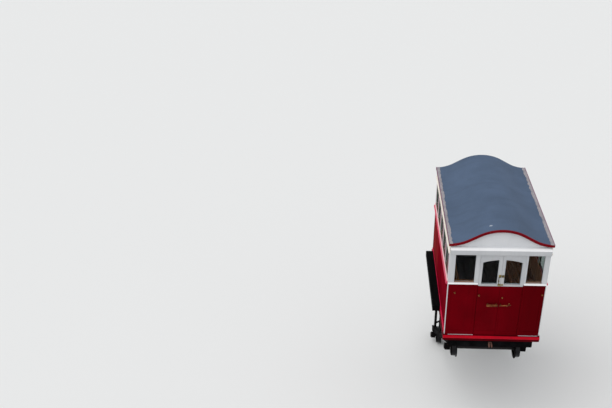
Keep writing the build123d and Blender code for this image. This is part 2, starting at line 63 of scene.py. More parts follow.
# Where the car's main lines lie, in metres: some read from the imported frame, the rest given
ends, sides = ("uphill", "downhill"), ("left", "right")
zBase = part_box("bottom_beams")[0].z
fromBase = Matrix.Translation((0, 0, zBase))
faces = {"uphill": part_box("end_frame_uphill")[0].y, "downhill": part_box("end_frame_downhill")[1].y}
yMiddle = (faces["uphill"] + faces["downhill"]) / 2
carLength = faces["downhill"] - faces["uphill"]
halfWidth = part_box("side_frame_right")[1].x
heights = {  # above the underside of the bottom beams
    "panelFoot": 0.146, "doorWaist": 1.385, "waist": 1.420, "doorSill": 1.424, "sill": 1.462, "head": 2.105,
    "corniceFoot": 2.130, "corniceTop": 2.275, "eave": 2.366, "crown": 2.689,
}
wall = 0.048
endWindows = [(-0.843, -0.452), (0.545, 0.855)]
doorway = (-0.362, 0.503)
doorCentre = 0.070
bodyOf = {node: body for body, nodes in frame["record"]["behaviour"]["bodies"].items() for node in nodes}


# Helpers for meshes

def atEnd(end):
    # From a drawing of the uphill end (X right, -Y outwards, Z above the beams' underside) to either end
    turn = Matrix.Rotation(0 if end == "uphill" else math.pi, 4, "Z")
    return Matrix.Translation((0, faces[end], zBase)) @ turn


def atSide(side):
    # From a drawing of the right side (X outwards from the wall, Y from the car's middle) to either side
    turn = Matrix.Rotation(0 if side == "right" else math.pi, 4, "Z")
    return Matrix.Translation((0, yMiddle, zBase)) @ turn @ Matrix.Translation((halfWidth, 0, 0))


def standingOut(place, x, z, depth=0.0):
    # The place of a turned part that stands straight out of an end wall
    return place @ Matrix.Translation((x, depth, z)) @ Matrix.Rotation(math.radians(90), 4, "X")


def easeEdges(shape, verts, edge):
    rims = {rim for vert in verts for rim in vert.link_edges}
    bmesh.ops.bevel(shape, geom=list(rims), offset=edge, segments=1, affect="EDGES", material=-1)


def addBlock(shape, corner, opposite, place=Matrix(), edge=0.0015, finish=0):
    # A block between two opposite corners with eased edges
    low, high = [Vector([pick(pair) for pair in zip(corner, opposite)]) for pick in (min, max)]
    size = Matrix.Diagonal((*(high - low), 1))
    made = bmesh.ops.create_cube(shape, size=1, matrix=place @ Matrix.Translation((low + high) / 2) @ size)
    for face in {face for vert in made["verts"] for face in vert.link_faces}:
        face.material_index = finish
    if edge:
        easeEdges(shape, made["verts"], edge)


def addPrism(shape, points, run, place=Matrix(), edge=0.0, finish=0):
    # A straight bar whose end is a closed outline
    verts = [shape.verts.new(place @ Vector(point)) for point in points]
    made = bmesh.ops.extrude_face_region(shape, geom=[shape.faces.new(verts)])
    moved = [item for item in made["geom"] if isinstance(item, bmesh.types.BMVert)]
    bmesh.ops.translate(shape, verts=moved, vec=place.to_3x3() @ Vector(run))
    for face in {face for vert in verts + moved for face in vert.link_faces}:
        face.material_index = finish
    if edge:
        easeEdges(shape, verts + moved, edge)


def addMoulding(shape, axis, start, stop, profile, place=Matrix(), edge=0.001, finish=0):
    # A straight moulding along X or Y, its profile given as pairs of depth and height
    along = axis == "X"
    points = [(start, depth, height) if along else (depth, start, height) for depth, height in profile]
    addPrism(shape, points, (stop - start, 0, 0) if along else (0, stop - start, 0), place, edge, finish)


def joinRows(shape, rows, around=True, finish=0):
    # Faces between each row of points and the next one; a row may be a single point
    count = max(len(row) for row in rows)
    for near, far in zip(rows, rows[1:]):
        for index in range(count if around else count - 1):
            after = (index + 1) % count
            corners = [near[index % len(near)], near[after % len(near)],
                       far[after % len(far)], far[index % len(far)]]
            shape.faces.new(list(dict.fromkeys(corners))).material_index = finish


def addRounds(shape, profile, place, count):
    # A ring of points for each radius and height round the Z of a place, or a single point at radius 0
    angles = [2 * math.pi * index / count for index in range(count)]
    return [[shape.verts.new(place @ Vector((radius * math.cos(angle), radius * math.sin(angle), height)))
             for angle in (angles if radius else angles[:1])] for radius, height in profile]


def addTurned(shape, profile, place, count=24, finish=0):
    # A solid turned part with closed ends
    rings = addRounds(shape, profile, place, count)
    joinRows(shape, rings, finish=finish)
    for ring in (rings[0], rings[-1]):
        if len(ring) > 2:
            shape.faces.new(ring).material_index = finish


def addRod(shape, start, end, radius, count=10, place=Matrix(), finish=0):
    # A straight round rod between two points
    start, end = place @ Vector(start), place @ Vector(end)
    run = end - start
    turn = run.to_track_quat("Z", "Y").to_matrix().to_4x4()
    addTurned(shape, [(radius, 0), (radius, run.length)], Matrix.Translation(start) @ turn, count, finish)


def addRing(shape, outer, inner, near, far, place=Matrix(), finish=0):
    # A flat frame between two closed outlines of X and Z, from one depth to another
    rows = [[shape.verts.new(place @ Vector((x, y, z))) for x, z in outline]
            for outline, y in ((outer, near), (outer, far), (inner, far), (inner, near))]
    joinRows(shape, rows + rows[:1], finish=finish)


def rectangle(left, right, foot, head, out=0.0):
    # An outline of X and Z, wider by a margin all round
    left, right, foot, head = left - out, right + out, foot - out, head + out
    return [(left, foot), (right, foot), (right, head), (left, head)]


def cutShape(shape, point, normal, clear=False):
    # Cuts the faces along a plane, and gives the new edges
    everything = shape.verts[:] + shape.edges[:] + shape.faces[:]
    cut = bmesh.ops.bisect_plane(shape, geom=everything, plane_co=point, plane_no=normal, clear_outer=clear)
    return [item for item in cut["geom_cut"] if isinstance(item, bmesh.types.BMEdge)]


def finishPiece(shape, name, finishes, body, nodes=(), smooth=25):
    # Turns the mesh into a piece that rides on a body, and may stand for CAD nodes
    bmesh.ops.recalc_face_normals(shape, faces=shape.faces)
    mesh = bpy.data.meshes.new(name)
    shape.to_mesh(mesh)
    shape.free()
    mesh.polygons.foreach_set("use_smooth", [True] * len(mesh.polygons))
    mesh.set_sharp_from_angle(angle=math.radians(smooth))
    for finish in finishes:
        mesh.materials.append(finish)
    piece = bpy.data.objects.new(name, mesh)
    bpy.context.scene.collection.objects.link(piece)
    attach(piece, body)
    if nodes:
        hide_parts(*nodes)
    return piece


def nodeShape(node, edge):
    # A copy of a CAD node with its edges eased; the eased faces are marked for wear
    shape = bmesh.new()
    shape.from_mesh(frame["nodes"][node].data)
    bmesh.ops.remove_doubles(shape, verts=shape.verts, dist=0.00002)
    bmesh.ops.dissolve_limit(shape, angle_limit=math.radians(0.8), verts=shape.verts, edges=shape.edges)
    wear = shape.faces.layers.float.new("edgeWear")
    sharp = math.radians(28)
    rims = [rim for rim in shape.edges if len(rim.link_faces) == 2 and rim.calc_face_angle(0) > sharp]
    made = bmesh.ops.bevel(shape, geom=rims, offset=edge, segments=2, profile=0.5, affect="EDGES",
                           clamp_overlap=True)
    for face in made["faces"]:
        face[wear] = 1.0
    return shape


def coatNode(node, finish):
    # A CAD node that shows as it is only gets its material
    frame["nodes"][node].data.materials.clear()
    frame["nodes"][node].data.materials.append(finish)


# Helpers for materials and node trees

def colour(code):
    # sRGB hex to linear
    parts = [int(code[start:start + 2], 16) / 255 for start in (1, 3, 5)]
    return (*[part / 12.92 if part <= 0.04045 else ((part + 0.055) / 1.055) ** 2.4 for part in parts], 1)


def addNode(tree, kind, inputs, **settings):
    # An input is a plain value, a socket to link, or a node whose first output in use is meant
    made = tree.nodes.new(kind)
    for name, value in settings.items():
        setattr(made, name, value)
    for name, value in inputs.items():
        if isinstance(value, bpy.types.Node):
            value = next(socket for socket in value.outputs if socket.enabled)
        if isinstance(value, bpy.types.NodeSocket):
            tree.links.new(value, made.inputs[name])
        else:
            made.inputs[name].default_value = value
    return made


def startMaterial(name):
    # An empty material, its tree, and the object's own coordinates
    finish = bpy.data.materials.new(name)
    finish.use_nodes = True
    finish.node_tree.nodes.clear()
    place = addNode(finish.node_tree, "ShaderNodeTexCoord", {}).outputs["Object"]
    return finish, finish.node_tree, place


def endMaterial(finish, shader):
    # The Principled shader, with its numbers and patterns
    base = addNode(finish.node_tree, "ShaderNodeBsdfPrincipled", shader)
    addNode(finish.node_tree, "ShaderNodeOutputMaterial", {"Surface": base})
    return finish


def patches(tree, spot, noise, span, under, over):
    # One colour over another in cloudy patches: from which level to which one, and how much
    cloudy = addNode(tree, "ShaderNodeTexNoise", {"Vector": spot, **noise})
    share = addNode(tree, "ShaderNodeMapRange", {0: cloudy, 1: span[0], 2: span[1], 3: 0.0, 4: span[2]})
    return addNode(tree, "ShaderNodeMix", {0: share, 6: under, 7: over}, data_type="RGBA"), share, cloudy


def paintedTimber(name, look):
    # Old oil paint, brushed on timber: slightly uneven colour, rain streaks, brush marks, worn edges
    finish, tree, place = startMaterial(name)
    body, share, cloudy = patches(tree, place, {"Scale": 1.7, "Detail": 5.0, "Roughness": 0.6},
                                  (0.35, 0.68, 1.0), colour(look["colour"]), colour(look["faded"]))
    if "paintedLightDrift" in look:  # painted light or shade: the colour changes towards one side, as light falls on it
        axis, start, stop, paintedLightColour = look["paintedLightDrift"]
        way = addNode(tree, "ShaderNodeSeparateXYZ", {0: place}).outputs[axis]
        share = addNode(tree, "ShaderNodeMapRange", {0: way, 1: start, 2: stop, 3: 0.0, 4: 1.0})
        body = addNode(tree, "ShaderNodeMix", {0: share, 6: body, 7: colour(paintedLightColour)}, data_type="RGBA")
    # Streaks about 35 mm apart, chips of 30 mm, and bristle marks 2 mm apart
    tall = addNode(tree, "ShaderNodeMapping", {"Vector": place, "Scale": (28.0, 28.0, 1.6)})
    washed = patches(tree, tall, {"Scale": 1.0, "Detail": 4.0}, (0.52, 0.80, look["grime"]), body,
                     colour(look["dirt"]))[0]
    edge = addNode(tree, "ShaderNodeAttribute", {}, attribute_name="edgeWear").outputs["Fac"]
    chips = addNode(tree, "ShaderNodeTexNoise", {"Vector": place, "Scale": 34.0, "Detail": 3.0})
    chipped = addNode(tree, "ShaderNodeMapRange", {0: chips, 1: 0.50, 2: 0.58, 3: 0.0, 4: look["wear"]})
    worn = addNode(tree, "ShaderNodeMath", {0: edge, 1: chipped}, operation="MULTIPLY")
    shown = addNode(tree, "ShaderNodeMix", {0: worn, 6: washed, 7: colour(look["under"])}, data_type="RGBA")
    gloss = look["gloss"]
    dull = addNode(tree, "ShaderNodeMapRange", {0: cloudy, 1: 0.3, 2: 0.7, 3: gloss, 4: gloss + 0.16})
    brush = addNode(tree, "ShaderNodeMapping", {"Vector": place, "Scale": (420.0, 420.0, 26.0)})
    marks = addNode(tree, "ShaderNodeTexNoise", {"Vector": brush, "Scale": 1.0, "Detail": 2.0})
    bump = addNode(tree, "ShaderNodeBump", {"Height": marks, "Strength": 0.35, "Distance": 0.0006})
    return endMaterial(finish, {"Base Color": shown, "Roughness": dull, "Normal": bump, "IOR": 1.5,
                                "Specular IOR Level": look.get("shine", 0.3)})


# What is under the paint shows at chipped edges; a drift of painted light or shade has its axis, its start
# and finish, and its colour
paints = {
    "white": {"colour": "#cdced0", "faded": "#c3c5c8", "dirt": "#a3a29e", "under": "#a09b92",
              "grime": 0.14, "wear": 0.25, "gloss": 0.34},
    "doorWhite": {"colour": "#c5c6c8", "faded": "#babcbf", "dirt": "#9a9995", "under": "#98938a",
                  "grime": 0.16, "wear": 0.3, "gloss": 0.34},
    # The ledge paint is the white made lighter: a painted highlight for faces that look up to the sky
    "ledgeHighlight": {"colour": "#f7f7f7", "faded": "#efeff0", "dirt": "#d0cfca", "under": "#b9b4ab",
              "grime": 0.12, "wear": 0.15, "gloss": 0.42},
    "gable": {"colour": "#dddee0", "faded": "#d2d4d7", "dirt": "#b9b8b4", "under": "#aaa59c",
              "grime": 0.12, "wear": 0.2, "gloss": 0.45},
    # The cornice paint is the white made greyer: painted shade on the cornice's faces
    "cornice": {"colour": "#c3c4c6", "faded": "#b9bbbe", "dirt": "#9c9b97", "under": "#a09b92",
                "grime": 0.14, "wear": 0.25, "gloss": 0.34},
    # The next paint is a grey that stands for the shadow under each cornice: a painted shadow
    "underCorniceShade": {"colour": "#6f7074", "faded": "#67686c", "dirt": "#565553", "under": "#77736c",
              "grime": 0.3, "wear": 0.3, "gloss": 0.5, "shine": 0.1},
    # The ends' crimson darkens towards the right as painted shade, the light falling from the left
    "crimson": {"colour": "#6c000c", "faded": "#5d0009", "dirt": "#3a0306", "under": "#2c0d0a",
                "grime": 0.18, "wear": 0.4, "gloss": 0.40, "shine": 0.01,
                "paintedLightDrift": (0, 0.1, 0.7, "#560007")},
    # The sides' crimson is lighter than the ends' as the lit side, and its drift to salmon towards the
    # downhill end is a painted glare
    "litSideCrimson": {"colour": "#820a1c", "faded": "#6f0716", "dirt": "#48030e", "under": "#4c1210",
                    "grime": 0.25, "wear": 0.5, "gloss": 0.5, "shine": 0.0,
                    "paintedLightDrift": (1, 0.0, 1.1, "#86282a")},
    # The next two paints are lit and shaded copies of the beams' red: a painted highlight and painted shade
    "red": {"colour": "#ba001c", "faded": "#a6001b", "dirt": "#6c0512", "under": "#4c100e",
            "grime": 0.22, "wear": 0.4, "gloss": 0.30, "shine": 0.08},
    "shadowRed": {"colour": "#5a020d", "faded": "#45020a", "dirt": "#200204", "under": "#240a08",
                  "grime": 0.35, "wear": 0.4, "gloss": 0.45, "shine": 0.01},
    "sideRed": {"colour": "#cf1b45", "faded": "#ba1339", "dirt": "#7a0a22", "under": "#4c1210",
                "grime": 0.25, "wear": 0.3, "gloss": 0.4, "shine": 0.02},
    "barge": {"colour": "#7c0412", "faded": "#6c0411", "dirt": "#4b0610", "under": "#4c1b18",
              "grime": 0.18, "wear": 0.3, "gloss": 0.36, "shine": 0.05},
    "cream": {"colour": "#f4ebe0", "faded": "#eae0d3", "dirt": "#bfb5a4", "under": "#a59e90",
              "grime": 0.15, "wear": 0.4, "gloss": 0.45, "shine": 0.1},
    "rose": {"colour": "#d84a62", "faded": "#cf5c72", "dirt": "#9f4456", "under": "#9d6460",
             "grime": 0.25, "wear": 0.3, "gloss": 0.45, "shine": 0.05},
    "paleRose": {"colour": "#f0c4c4", "faded": "#e8b8ba", "dirt": "#b98f90", "under": "#b08a86",
                 "grime": 0.15, "wear": 0.3, "gloss": 0.45, "shine": 0.1},
    "paleMauve": {"colour": "#d9bcc4", "faded": "#cdaeb8", "dirt": "#8f7880", "under": "#8a6a70",
                  "grime": 0.2, "wear": 0.3, "gloss": 0.45, "shine": 0.05},
    "moss": {"colour": "#33502a", "faded": "#2c4725", "dirt": "#1b2c17", "under": "#2d3a24",
             "grime": 0.2, "wear": 0.3, "gloss": 0.45, "shine": 0.02},
    "eaveBrown": {"colour": "#8a6478", "faded": "#7c5a6c", "dirt": "#553c48", "under": "#4f3c40",
                  "grime": 0.3, "wear": 0.3, "gloss": 0.5, "shine": 0.1},
}
painted = {key: paintedTimber(key + "PaintOnTimber", look) for key, look in paints.items()}


def roofFelt():
    # Mineral felt in slate blue: matt, gritty, a little cloudy, with a pale bird splash near the uphill end
    look = {"colour": "#4f617a", "shade": "#47586f", "stain": "#3f4d5f", "splash": "#a9b1bb",
            "spot": (-0.208, -1.525, 4.367), "spotSize": 0.030}
    finish, tree, place = startMaterial("slateBlueFelt")
    body = patches(tree, place, {"Scale": 1.5, "Detail": 5.0, "Roughness": 0.55}, (0.36, 0.66, 1.0),
                   colour(look["colour"]), colour(look["shade"]))[0]
    across = addNode(tree, "ShaderNodeMapping", {"Vector": place, "Scale": (1.2, 9.0, 1.2)})
    stained = patches(tree, across, {"Scale": 1.0, "Detail": 3.0}, (0.52, 0.78, 0.35), body,
                      colour(look["stain"]))[0]
    # Granules of about 1 mm, drawn at 4 mm to show
    grit = addNode(tree, "ShaderNodeTexNoise", {"Vector": place, "Scale": 260.0, "Detail": 2.0})
    speckle = addNode(tree, "ShaderNodeMapRange", {0: grit, 1: 0.35, 2: 0.65, 3: 0.86, 4: 1.14})
    gritty = addNode(tree, "ShaderNodeVectorMath", {0: stained, "Scale": speckle}, operation="SCALE")
    moved = addNode(tree, "ShaderNodeVectorMath", {0: place, 1: look["spot"]}, operation="SUBTRACT")
    squeezed = addNode(tree, "ShaderNodeVectorMath", {0: moved, 1: (1.0, 1.5, 1.0)}, operation="MULTIPLY")
    away = addNode(tree, "ShaderNodeVectorMath", {0: squeezed}, operation="LENGTH")
    ragged = addNode(tree, "ShaderNodeTexNoise", {"Vector": place, "Scale": 22.0, "Detail": 3.0})
    reach = addNode(tree, "ShaderNodeMath", {0: ragged, 1: 0.06, 2: away}, operation="MULTIPLY_ADD")
    size = look["spotSize"]
    splash = addNode(tree, "ShaderNodeMapRange", {0: reach, 1: size + 0.03, 2: size + 0.02, 3: 0.0, 4: 1.0})
    shown = addNode(tree, "ShaderNodeMix", {0: splash, 6: gritty, 7: colour(look["splash"])},
                    data_type="RGBA")
    bump = addNode(tree, "ShaderNodeBump", {"Height": grit, "Strength": 0.4, "Distance": 0.0015})
    return endMaterial(finish, {"Base Color": shown, "Normal": bump, "Roughness": 0.88, "IOR": 1.45})


def weatheredLead():
    # Lead sheet dressed by hand: pale grey oxide, soft dents, darker in the folds
    look = {"colour": "#8d888d", "pale": "#a39da1", "dark": "#67666b"}
    finish, tree, place = startMaterial("weatheredLead")
    body = patches(tree, place, {"Scale": 7.0, "Detail": 5.0, "Roughness": 0.65}, (0.38, 0.64, 1.0),
                   colour(look["colour"]), colour(look["pale"]))[0]
    shown = patches(tree, place, {"Scale": 38.0, "Detail": 3.0}, (0.58, 0.70, 0.8), body,
                    colour(look["dark"]))[0]
    # Mallet marks about 60 mm apart
    dents = addNode(tree, "ShaderNodeTexNoise", {"Vector": place, "Scale": 16.0, "Detail": 2.0})
    bump = addNode(tree, "ShaderNodeBump", {"Height": dents, "Strength": 0.8, "Distance": 0.004})
    return endMaterial(finish, {"Base Color": shown, "Normal": bump, "Metallic": 0.2, "Roughness": 0.62})


def timber(name, light, dark, grain, shine=0.3, gloss=0.34):
    # Sawn timber: growth rings drawn out along the grain, with a shade of its own for each board
    finish, tree, place = startMaterial(name)
    shade = addNode(tree, "ShaderNodeAttribute", {}, attribute_name="boardShade").outputs["Fac"]
    shift = addNode(tree, "ShaderNodeVectorMath", {0: (1.7, 2.3, 3.1), "Scale": shade}, operation="SCALE")
    moved = addNode(tree, "ShaderNodeVectorMath", {0: place, 1: shift}, operation="ADD")
    drawn = addNode(tree, "ShaderNodeMapping", {"Vector": moved, "Scale": grain})
    body, share, rings = patches(tree, drawn, {"Scale": 1.0, "Detail": 6.0, "Distortion": 0.8},
                                 (0.34, 0.66, 1.0), colour(light), colour(dark))
    board = addNode(tree, "ShaderNodeMapRange", {0: shade, 1: 0.0, 2: 1.0, 3: 0.78, 4: 1.16})
    shown = addNode(tree, "ShaderNodeVectorMath", {0: body, "Scale": board}, operation="SCALE")
    worn = addNode(tree, "ShaderNodeMapRange", {0: rings, 1: 0.3, 2: 0.7, 3: gloss, 4: gloss + 0.2})
    bump = addNode(tree, "ShaderNodeBump", {"Height": rings, "Strength": 0.4, "Distance": 0.0008})
    return endMaterial(finish, {"Base Color": shown, "Roughness": worn, "Normal": bump, "IOR": 1.5,
                                "Specular IOR Level": shine})


# The grain is small along the board and large across it: lines about 15 mm apart that run for 300 mm
varnished = timber("varnishedPitchPine", "#bf8a62", "#8d5f3e", (60.0, 60.0, 3.0))
lengthwise = timber("varnishedPitchPineLengthwise", "#b8835c", "#865a39", (60.0, 3.0, 60.0))
sillTimber = timber("varnishedSillPine", "#a8713f", "#7e4f29", (3.0, 60.0, 60.0))
deckBoards = timber("trampledDeckPine", "#55545a", "#3c3c44", (60.0, 3.0, 60.0), 0.2, 0.62)
# The footboards are darkened to near-black as painted shade along the car's foot
shadeBlackBoards = timber("blackFootboardPineInShade", "#0b0b0c", "#050506", (70.0, 3.0, 70.0), 0.03, 0.6)


def steelFinish(name, look):
    # Rolled or cast steel, dull and dusty, with rust at its edges and in blooms
    finish, tree, place = startMaterial(name)
    body = patches(tree, place, {"Scale": 5.0, "Detail": 6.0, "Roughness": 0.65},
                   (0.44, 0.70, look["dusty"]), colour(look["colour"]), colour(look["dust"]))[0]
    blooms = addNode(tree, "ShaderNodeTexNoise", {"Vector": place, "Scale": 17.0, "Detail": 5.0,
                                                  "Roughness": 0.7})
    edge = addNode(tree, "ShaderNodeAttribute", {}, attribute_name="edgeWear").outputs["Fac"]
    likely = addNode(tree, "ShaderNodeMath", {0: edge, 1: 0.16, 2: blooms}, operation="MULTIPLY_ADD")
    start = look["rustFrom"]
    rusty = addNode(tree, "ShaderNodeMapRange", {0: likely, 1: start, 2: start + 0.09, 3: 0.0, 4: 1.0})
    fine = addNode(tree, "ShaderNodeTexNoise", {"Vector": place, "Scale": 130.0, "Detail": 3.0})
    rust = addNode(tree, "ShaderNodeMix", {0: fine, 6: colour(look["rust"]), 7: colour(look["rustLight"])},
                   data_type="RGBA")
    shown = addNode(tree, "ShaderNodeMix", {0: rusty, 6: body, 7: rust}, data_type="RGBA")
    dull = addNode(tree, "ShaderNodeMapRange", {0: rusty, 1: 0.0, 2: 1.0, 3: look["gloss"], 4: 0.9})
    bump = addNode(tree, "ShaderNodeBump", {"Height": fine, "Strength": 0.4, "Distance": 0.0008})
    return endMaterial(finish, {"Base Color": shown, "Roughness": dull, "Normal": bump,
                                "Metallic": look.get("metal", 0.0),
                                "Specular IOR Level": look.get("shine", 0.5)})


# Old black bitumen paint, greasy black cast iron, bare metal where the wheels run and turn, and bare rust;
# the cast iron and the treads are darkened to near-black as painted shade under the car
blackSteel = steelFinish("bitumenBlackSteel", {
    "colour": "#0a0a0b", "dust": "#1b1b1d", "dusty": 0.6, "gloss": 0.8, "shine": 0.01,
    "rust": "#24160f", "rustLight": "#452a1b", "rustFrom": 0.65})
shadedCastIron = steelFinish("greasyCastIronInShade", {
    "colour": "#0b0a0c", "dust": "#181513", "dusty": 0.7, "gloss": 0.7, "shine": 0.03,
    "rust": "#24160e", "rustLight": "#3f2618", "rustFrom": 0.63})
shadedTreadSteel = steelFinish("railPolishedSteelInShade", {
    "colour": "#252527", "dust": "#1a1919", "dusty": 0.8, "gloss": 0.38, "metal": 1.0,
    "rust": "#2b211b", "rustLight": "#43352b", "rustFrom": 0.70})
axleSteel = steelFinish("oiledAxleSteel", {
    "colour": "#1d1c1e", "dust": "#151312", "dusty": 0.8, "gloss": 0.4, "metal": 0.8,
    "rust": "#241811", "rustLight": "#3d271a", "rustFrom": 0.68})
rustySteel = steelFinish("rustedForging", {
    "colour": "#604840", "dust": "#7e625a", "dusty": 0.8, "gloss": 0.75, "shine": 0.1,
    "rust": "#563a30", "rustLight": "#825e52", "rustFrom": 0.47})


def tarnishedBrass(name, bright, tarnish):
    # Cast brass, handled bright on top of brown tarnish
    finish, tree, place = startMaterial(name)
    shown, brown, cloudy = patches(tree, place, {"Scale": 9.0, "Detail": 3.0}, (0.36, 0.62, 1.0),
                                   colour(bright), colour(tarnish))
    dull = addNode(tree, "ShaderNodeMapRange", {0: brown, 1: 0.0, 2: 1.0, 3: 0.34, 4: 0.50})
    return endMaterial(finish, {"Base Color": shown, "Roughness": dull, "Metallic": 1.0})


def paneGlass(name, tint, rough=0.02, bend=1.12):
    # Window glass, dusty or tinted in the mass, with a weak mirror; lamps see through it to light the cabin
    finish, tree, place = startMaterial(name)
    pane = addNode(tree, "ShaderNodeBsdfPrincipled", {
        "Base Color": colour(tint), "Transmission Weight": 1.0, "Roughness": rough, "IOR": bend})
    clear = addNode(tree, "ShaderNodeBsdfTransparent", {"Color": colour(tint)})
    path = addNode(tree, "ShaderNodeLightPath", {})
    shown = addNode(tree, "ShaderNodeMixShader", {0: path.outputs["Is Shadow Ray"], 1: pane, 2: clear})
    addNode(tree, "ShaderNodeOutputMaterial", {"Surface": shown})
    return finish


feltFinish = roofFelt()
leadFinish = weatheredLead()
brownBrass = tarnishedBrass("tarnishedBrass", "#94603a", "#55291a")
oliveBrass = tarnishedBrass("duskyBrass", "#a39468", "#63563a")
endGlass = paneGlass("smokyPaneGlass", "#d6dade")
sideGlass = {
    "clear": paneGlass("dustyPaneGlass", "#929d98", bend=1.03),
    "green": paneGlass("greenMarginGlass", "#1f5c29", 0.06, 1.03),
    "amber": paneGlass("amberMarginGlass", "#d8b23c", 0.06, 1.03),
    "rose": paneGlass("roseMarginGlass", "#dc7f8a", 0.06, 1.03),
}
print("materials ready")


# Geometry Nodes for what repeats

def startTree(name, sizes):
    # A tree with its named sizes, and the sockets that give them
    tree = bpy.data.node_groups.new(name, "GeometryNodeTree")
    tree.interface.new_socket("Geometry", in_out="INPUT", socket_type="NodeSocketGeometry")
    for label, (kind, value) in sizes.items():
        made = tree.interface.new_socket(label, in_out="INPUT", socket_type="NodeSocket" + kind)
        if value is not None:
            made.default_value = value
    tree.interface.new_socket("Geometry", in_out="OUTPUT", socket_type="NodeSocketGeometry")
    return tree, addNode(tree, "NodeGroupInput", {}).outputs


def endTree(tree, placed, finish):
    # Real faces with their material, because the export drops instances
    real = addNode(tree, "GeometryNodeRealizeInstances", {"Geometry": placed})
    coated = addNode(tree, "GeometryNodeSetMaterial", {"Geometry": real, "Material": finish})
    addNode(tree, "NodeGroupOutput", {"Geometry": coated})
    return tree


def fastenerTree():
    # Round or six-sided heads on points, each facing the way its point says and a little different in size
    tree, given = startTree("fastenerHeads", {
        "Radius": ("Float", 0.012), "Height": ("Float", 0.007), "Sides": ("Int", 10),
        "Rounding": ("Float", 0.55), "Spread": ("Float", 0.06), "Seed": ("Int", 3),
        "Finish": ("Material", None)})
    wide, tall = 0.93, 0.62  # of the shoulder, where the rounded top starts
    foot = addNode(tree, "GeometryNodeMeshCone", {
        "Vertices": given["Sides"], "Radius Bottom": 1.0, "Depth": tall, "Radius Top": wide})
    crown = addNode(tree, "GeometryNodeMeshCone", {
        "Vertices": given["Sides"], "Radius Bottom": wide, "Depth": 1 - tall,
        "Radius Top": given["Rounding"]})
    raised = addNode(tree, "GeometryNodeTransform", {"Geometry": crown, "Translation": (0.0, 0.0, tall)})
    head = addNode(tree, "GeometryNodeJoinGeometry", {})
    tree.links.new(foot.outputs["Mesh"], head.inputs[0])
    tree.links.new(raised.outputs[0], head.inputs[0])
    welded = addNode(tree, "GeometryNodeMergeByDistance", {"Geometry": head, "Distance": 0.001})
    size = addNode(tree, "ShaderNodeCombineXYZ", {
        "X": given["Radius"], "Y": given["Radius"], "Z": given["Height"]})
    sized = addNode(tree, "GeometryNodeTransform", {"Geometry": welded, "Scale": size})
    facing = addNode(tree, "GeometryNodeInputNamedAttribute", {"Name": "facing"}, data_type="FLOAT_VECTOR")
    turn = addNode(tree, "FunctionNodeAlignRotationToVector", {"Vector": facing}, axis="Z")
    least = addNode(tree, "ShaderNodeMath", {0: 1.0, 1: given["Spread"]}, operation="SUBTRACT")
    most = addNode(tree, "ShaderNodeMath", {0: 1.0, 1: given["Spread"]}, operation="ADD")
    vary = addNode(tree, "FunctionNodeRandomValue", {2: least, 3: most, "Seed": given["Seed"]},
                   data_type="FLOAT")
    placed = addNode(tree, "GeometryNodeInstanceOnPoints", {
        "Points": given["Geometry"], "Instance": sized, "Rotation": turn, "Scale": vary})
    return endTree(tree, placed, given["Finish"])


def boardTree():
    # A row of equal boards or slats side by side, each with a shade of its own
    tree, given = startTree("boardRow", {
        "Count": ("Int", 8), "Start": ("Vector", (0, 0, 0)), "Step": ("Vector", (0.1, 0, 0)),
        "Board": ("Vector", (0.09, 1, 0.02)), "Seed": ("Int", 5), "Finish": ("Material", None)})
    row = addNode(tree, "GeometryNodeMeshLine", {
        "Count": given["Count"], "Start Location": given["Start"], "Offset": given["Step"]})
    board = addNode(tree, "GeometryNodeMeshCube", {"Size": given["Board"]})
    placed = addNode(tree, "GeometryNodeInstanceOnPoints", {"Points": row, "Instance": board})
    vary = addNode(tree, "FunctionNodeRandomValue", {2: 0.0, 3: 1.0, "Seed": given["Seed"]},
                   data_type="FLOAT")
    shaded = addNode(tree, "GeometryNodeStoreNamedAttribute", {
        "Geometry": placed, "Name": "boardShade", "Value": vary}, data_type="FLOAT", domain="INSTANCE")
    return endTree(tree, shaded, given["Finish"])


def roofTree():
    # The felt roof: one ogee line drawn out into sheets that lap over each other along the car
    tree, given = startTree("lappedFeltSheets", {
        "Sheets": ("Int", 4), "Pitch": ("Float", 0.8), "Lap": ("Float", 0.06), "Rise": ("Float", 0.004),
        "Thickness": ("Float", 0.003), "Finish": ("Material", None)})
    length = addNode(tree, "ShaderNodeMath", {0: given["Pitch"], 1: given["Lap"]}, operation="ADD")
    along = addNode(tree, "ShaderNodeCombineXYZ", {"Y": length})
    sheet = addNode(tree, "GeometryNodeExtrudeMesh", {
        "Mesh": given["Geometry"], "Offset": along, "Offset Scale": 1.0}, mode="EDGES")
    walls = addNode(tree, "GeometryNodeExtrudeMesh", {
        "Mesh": sheet, "Offset": (0.0, 0.0, -1.0), "Offset Scale": given["Thickness"], "Individual": False},
        mode="FACES")
    back = addNode(tree, "GeometryNodeFlipFaces", {"Mesh": sheet})
    closed = addNode(tree, "GeometryNodeJoinGeometry", {})
    tree.links.new(walls.outputs["Mesh"], closed.inputs[0])
    tree.links.new(back.outputs[0], closed.inputs[0])
    welded = addNode(tree, "GeometryNodeMergeByDistance", {"Geometry": closed, "Distance": 0.0002})
    slope = addNode(tree, "ShaderNodeMath", {0: given["Rise"], 1: length}, operation="DIVIDE")
    tilt = addNode(tree, "ShaderNodeCombineXYZ", {"X": slope})
    tilted = addNode(tree, "GeometryNodeTransform", {"Geometry": welded, "Rotation": tilt})
    step = addNode(tree, "ShaderNodeCombineXYZ", {"Y": given["Pitch"]})
    row = addNode(tree, "GeometryNodeMeshLine", {"Count": given["Sheets"], "Offset": step})
    placed = addNode(tree, "GeometryNodeInstanceOnPoints", {"Points": row, "Instance": tilted})
    return endTree(tree, placed, given["Finish"])


trees = {"fasteners": fastenerTree(), "boards": boardTree(), "roof": roofTree()}


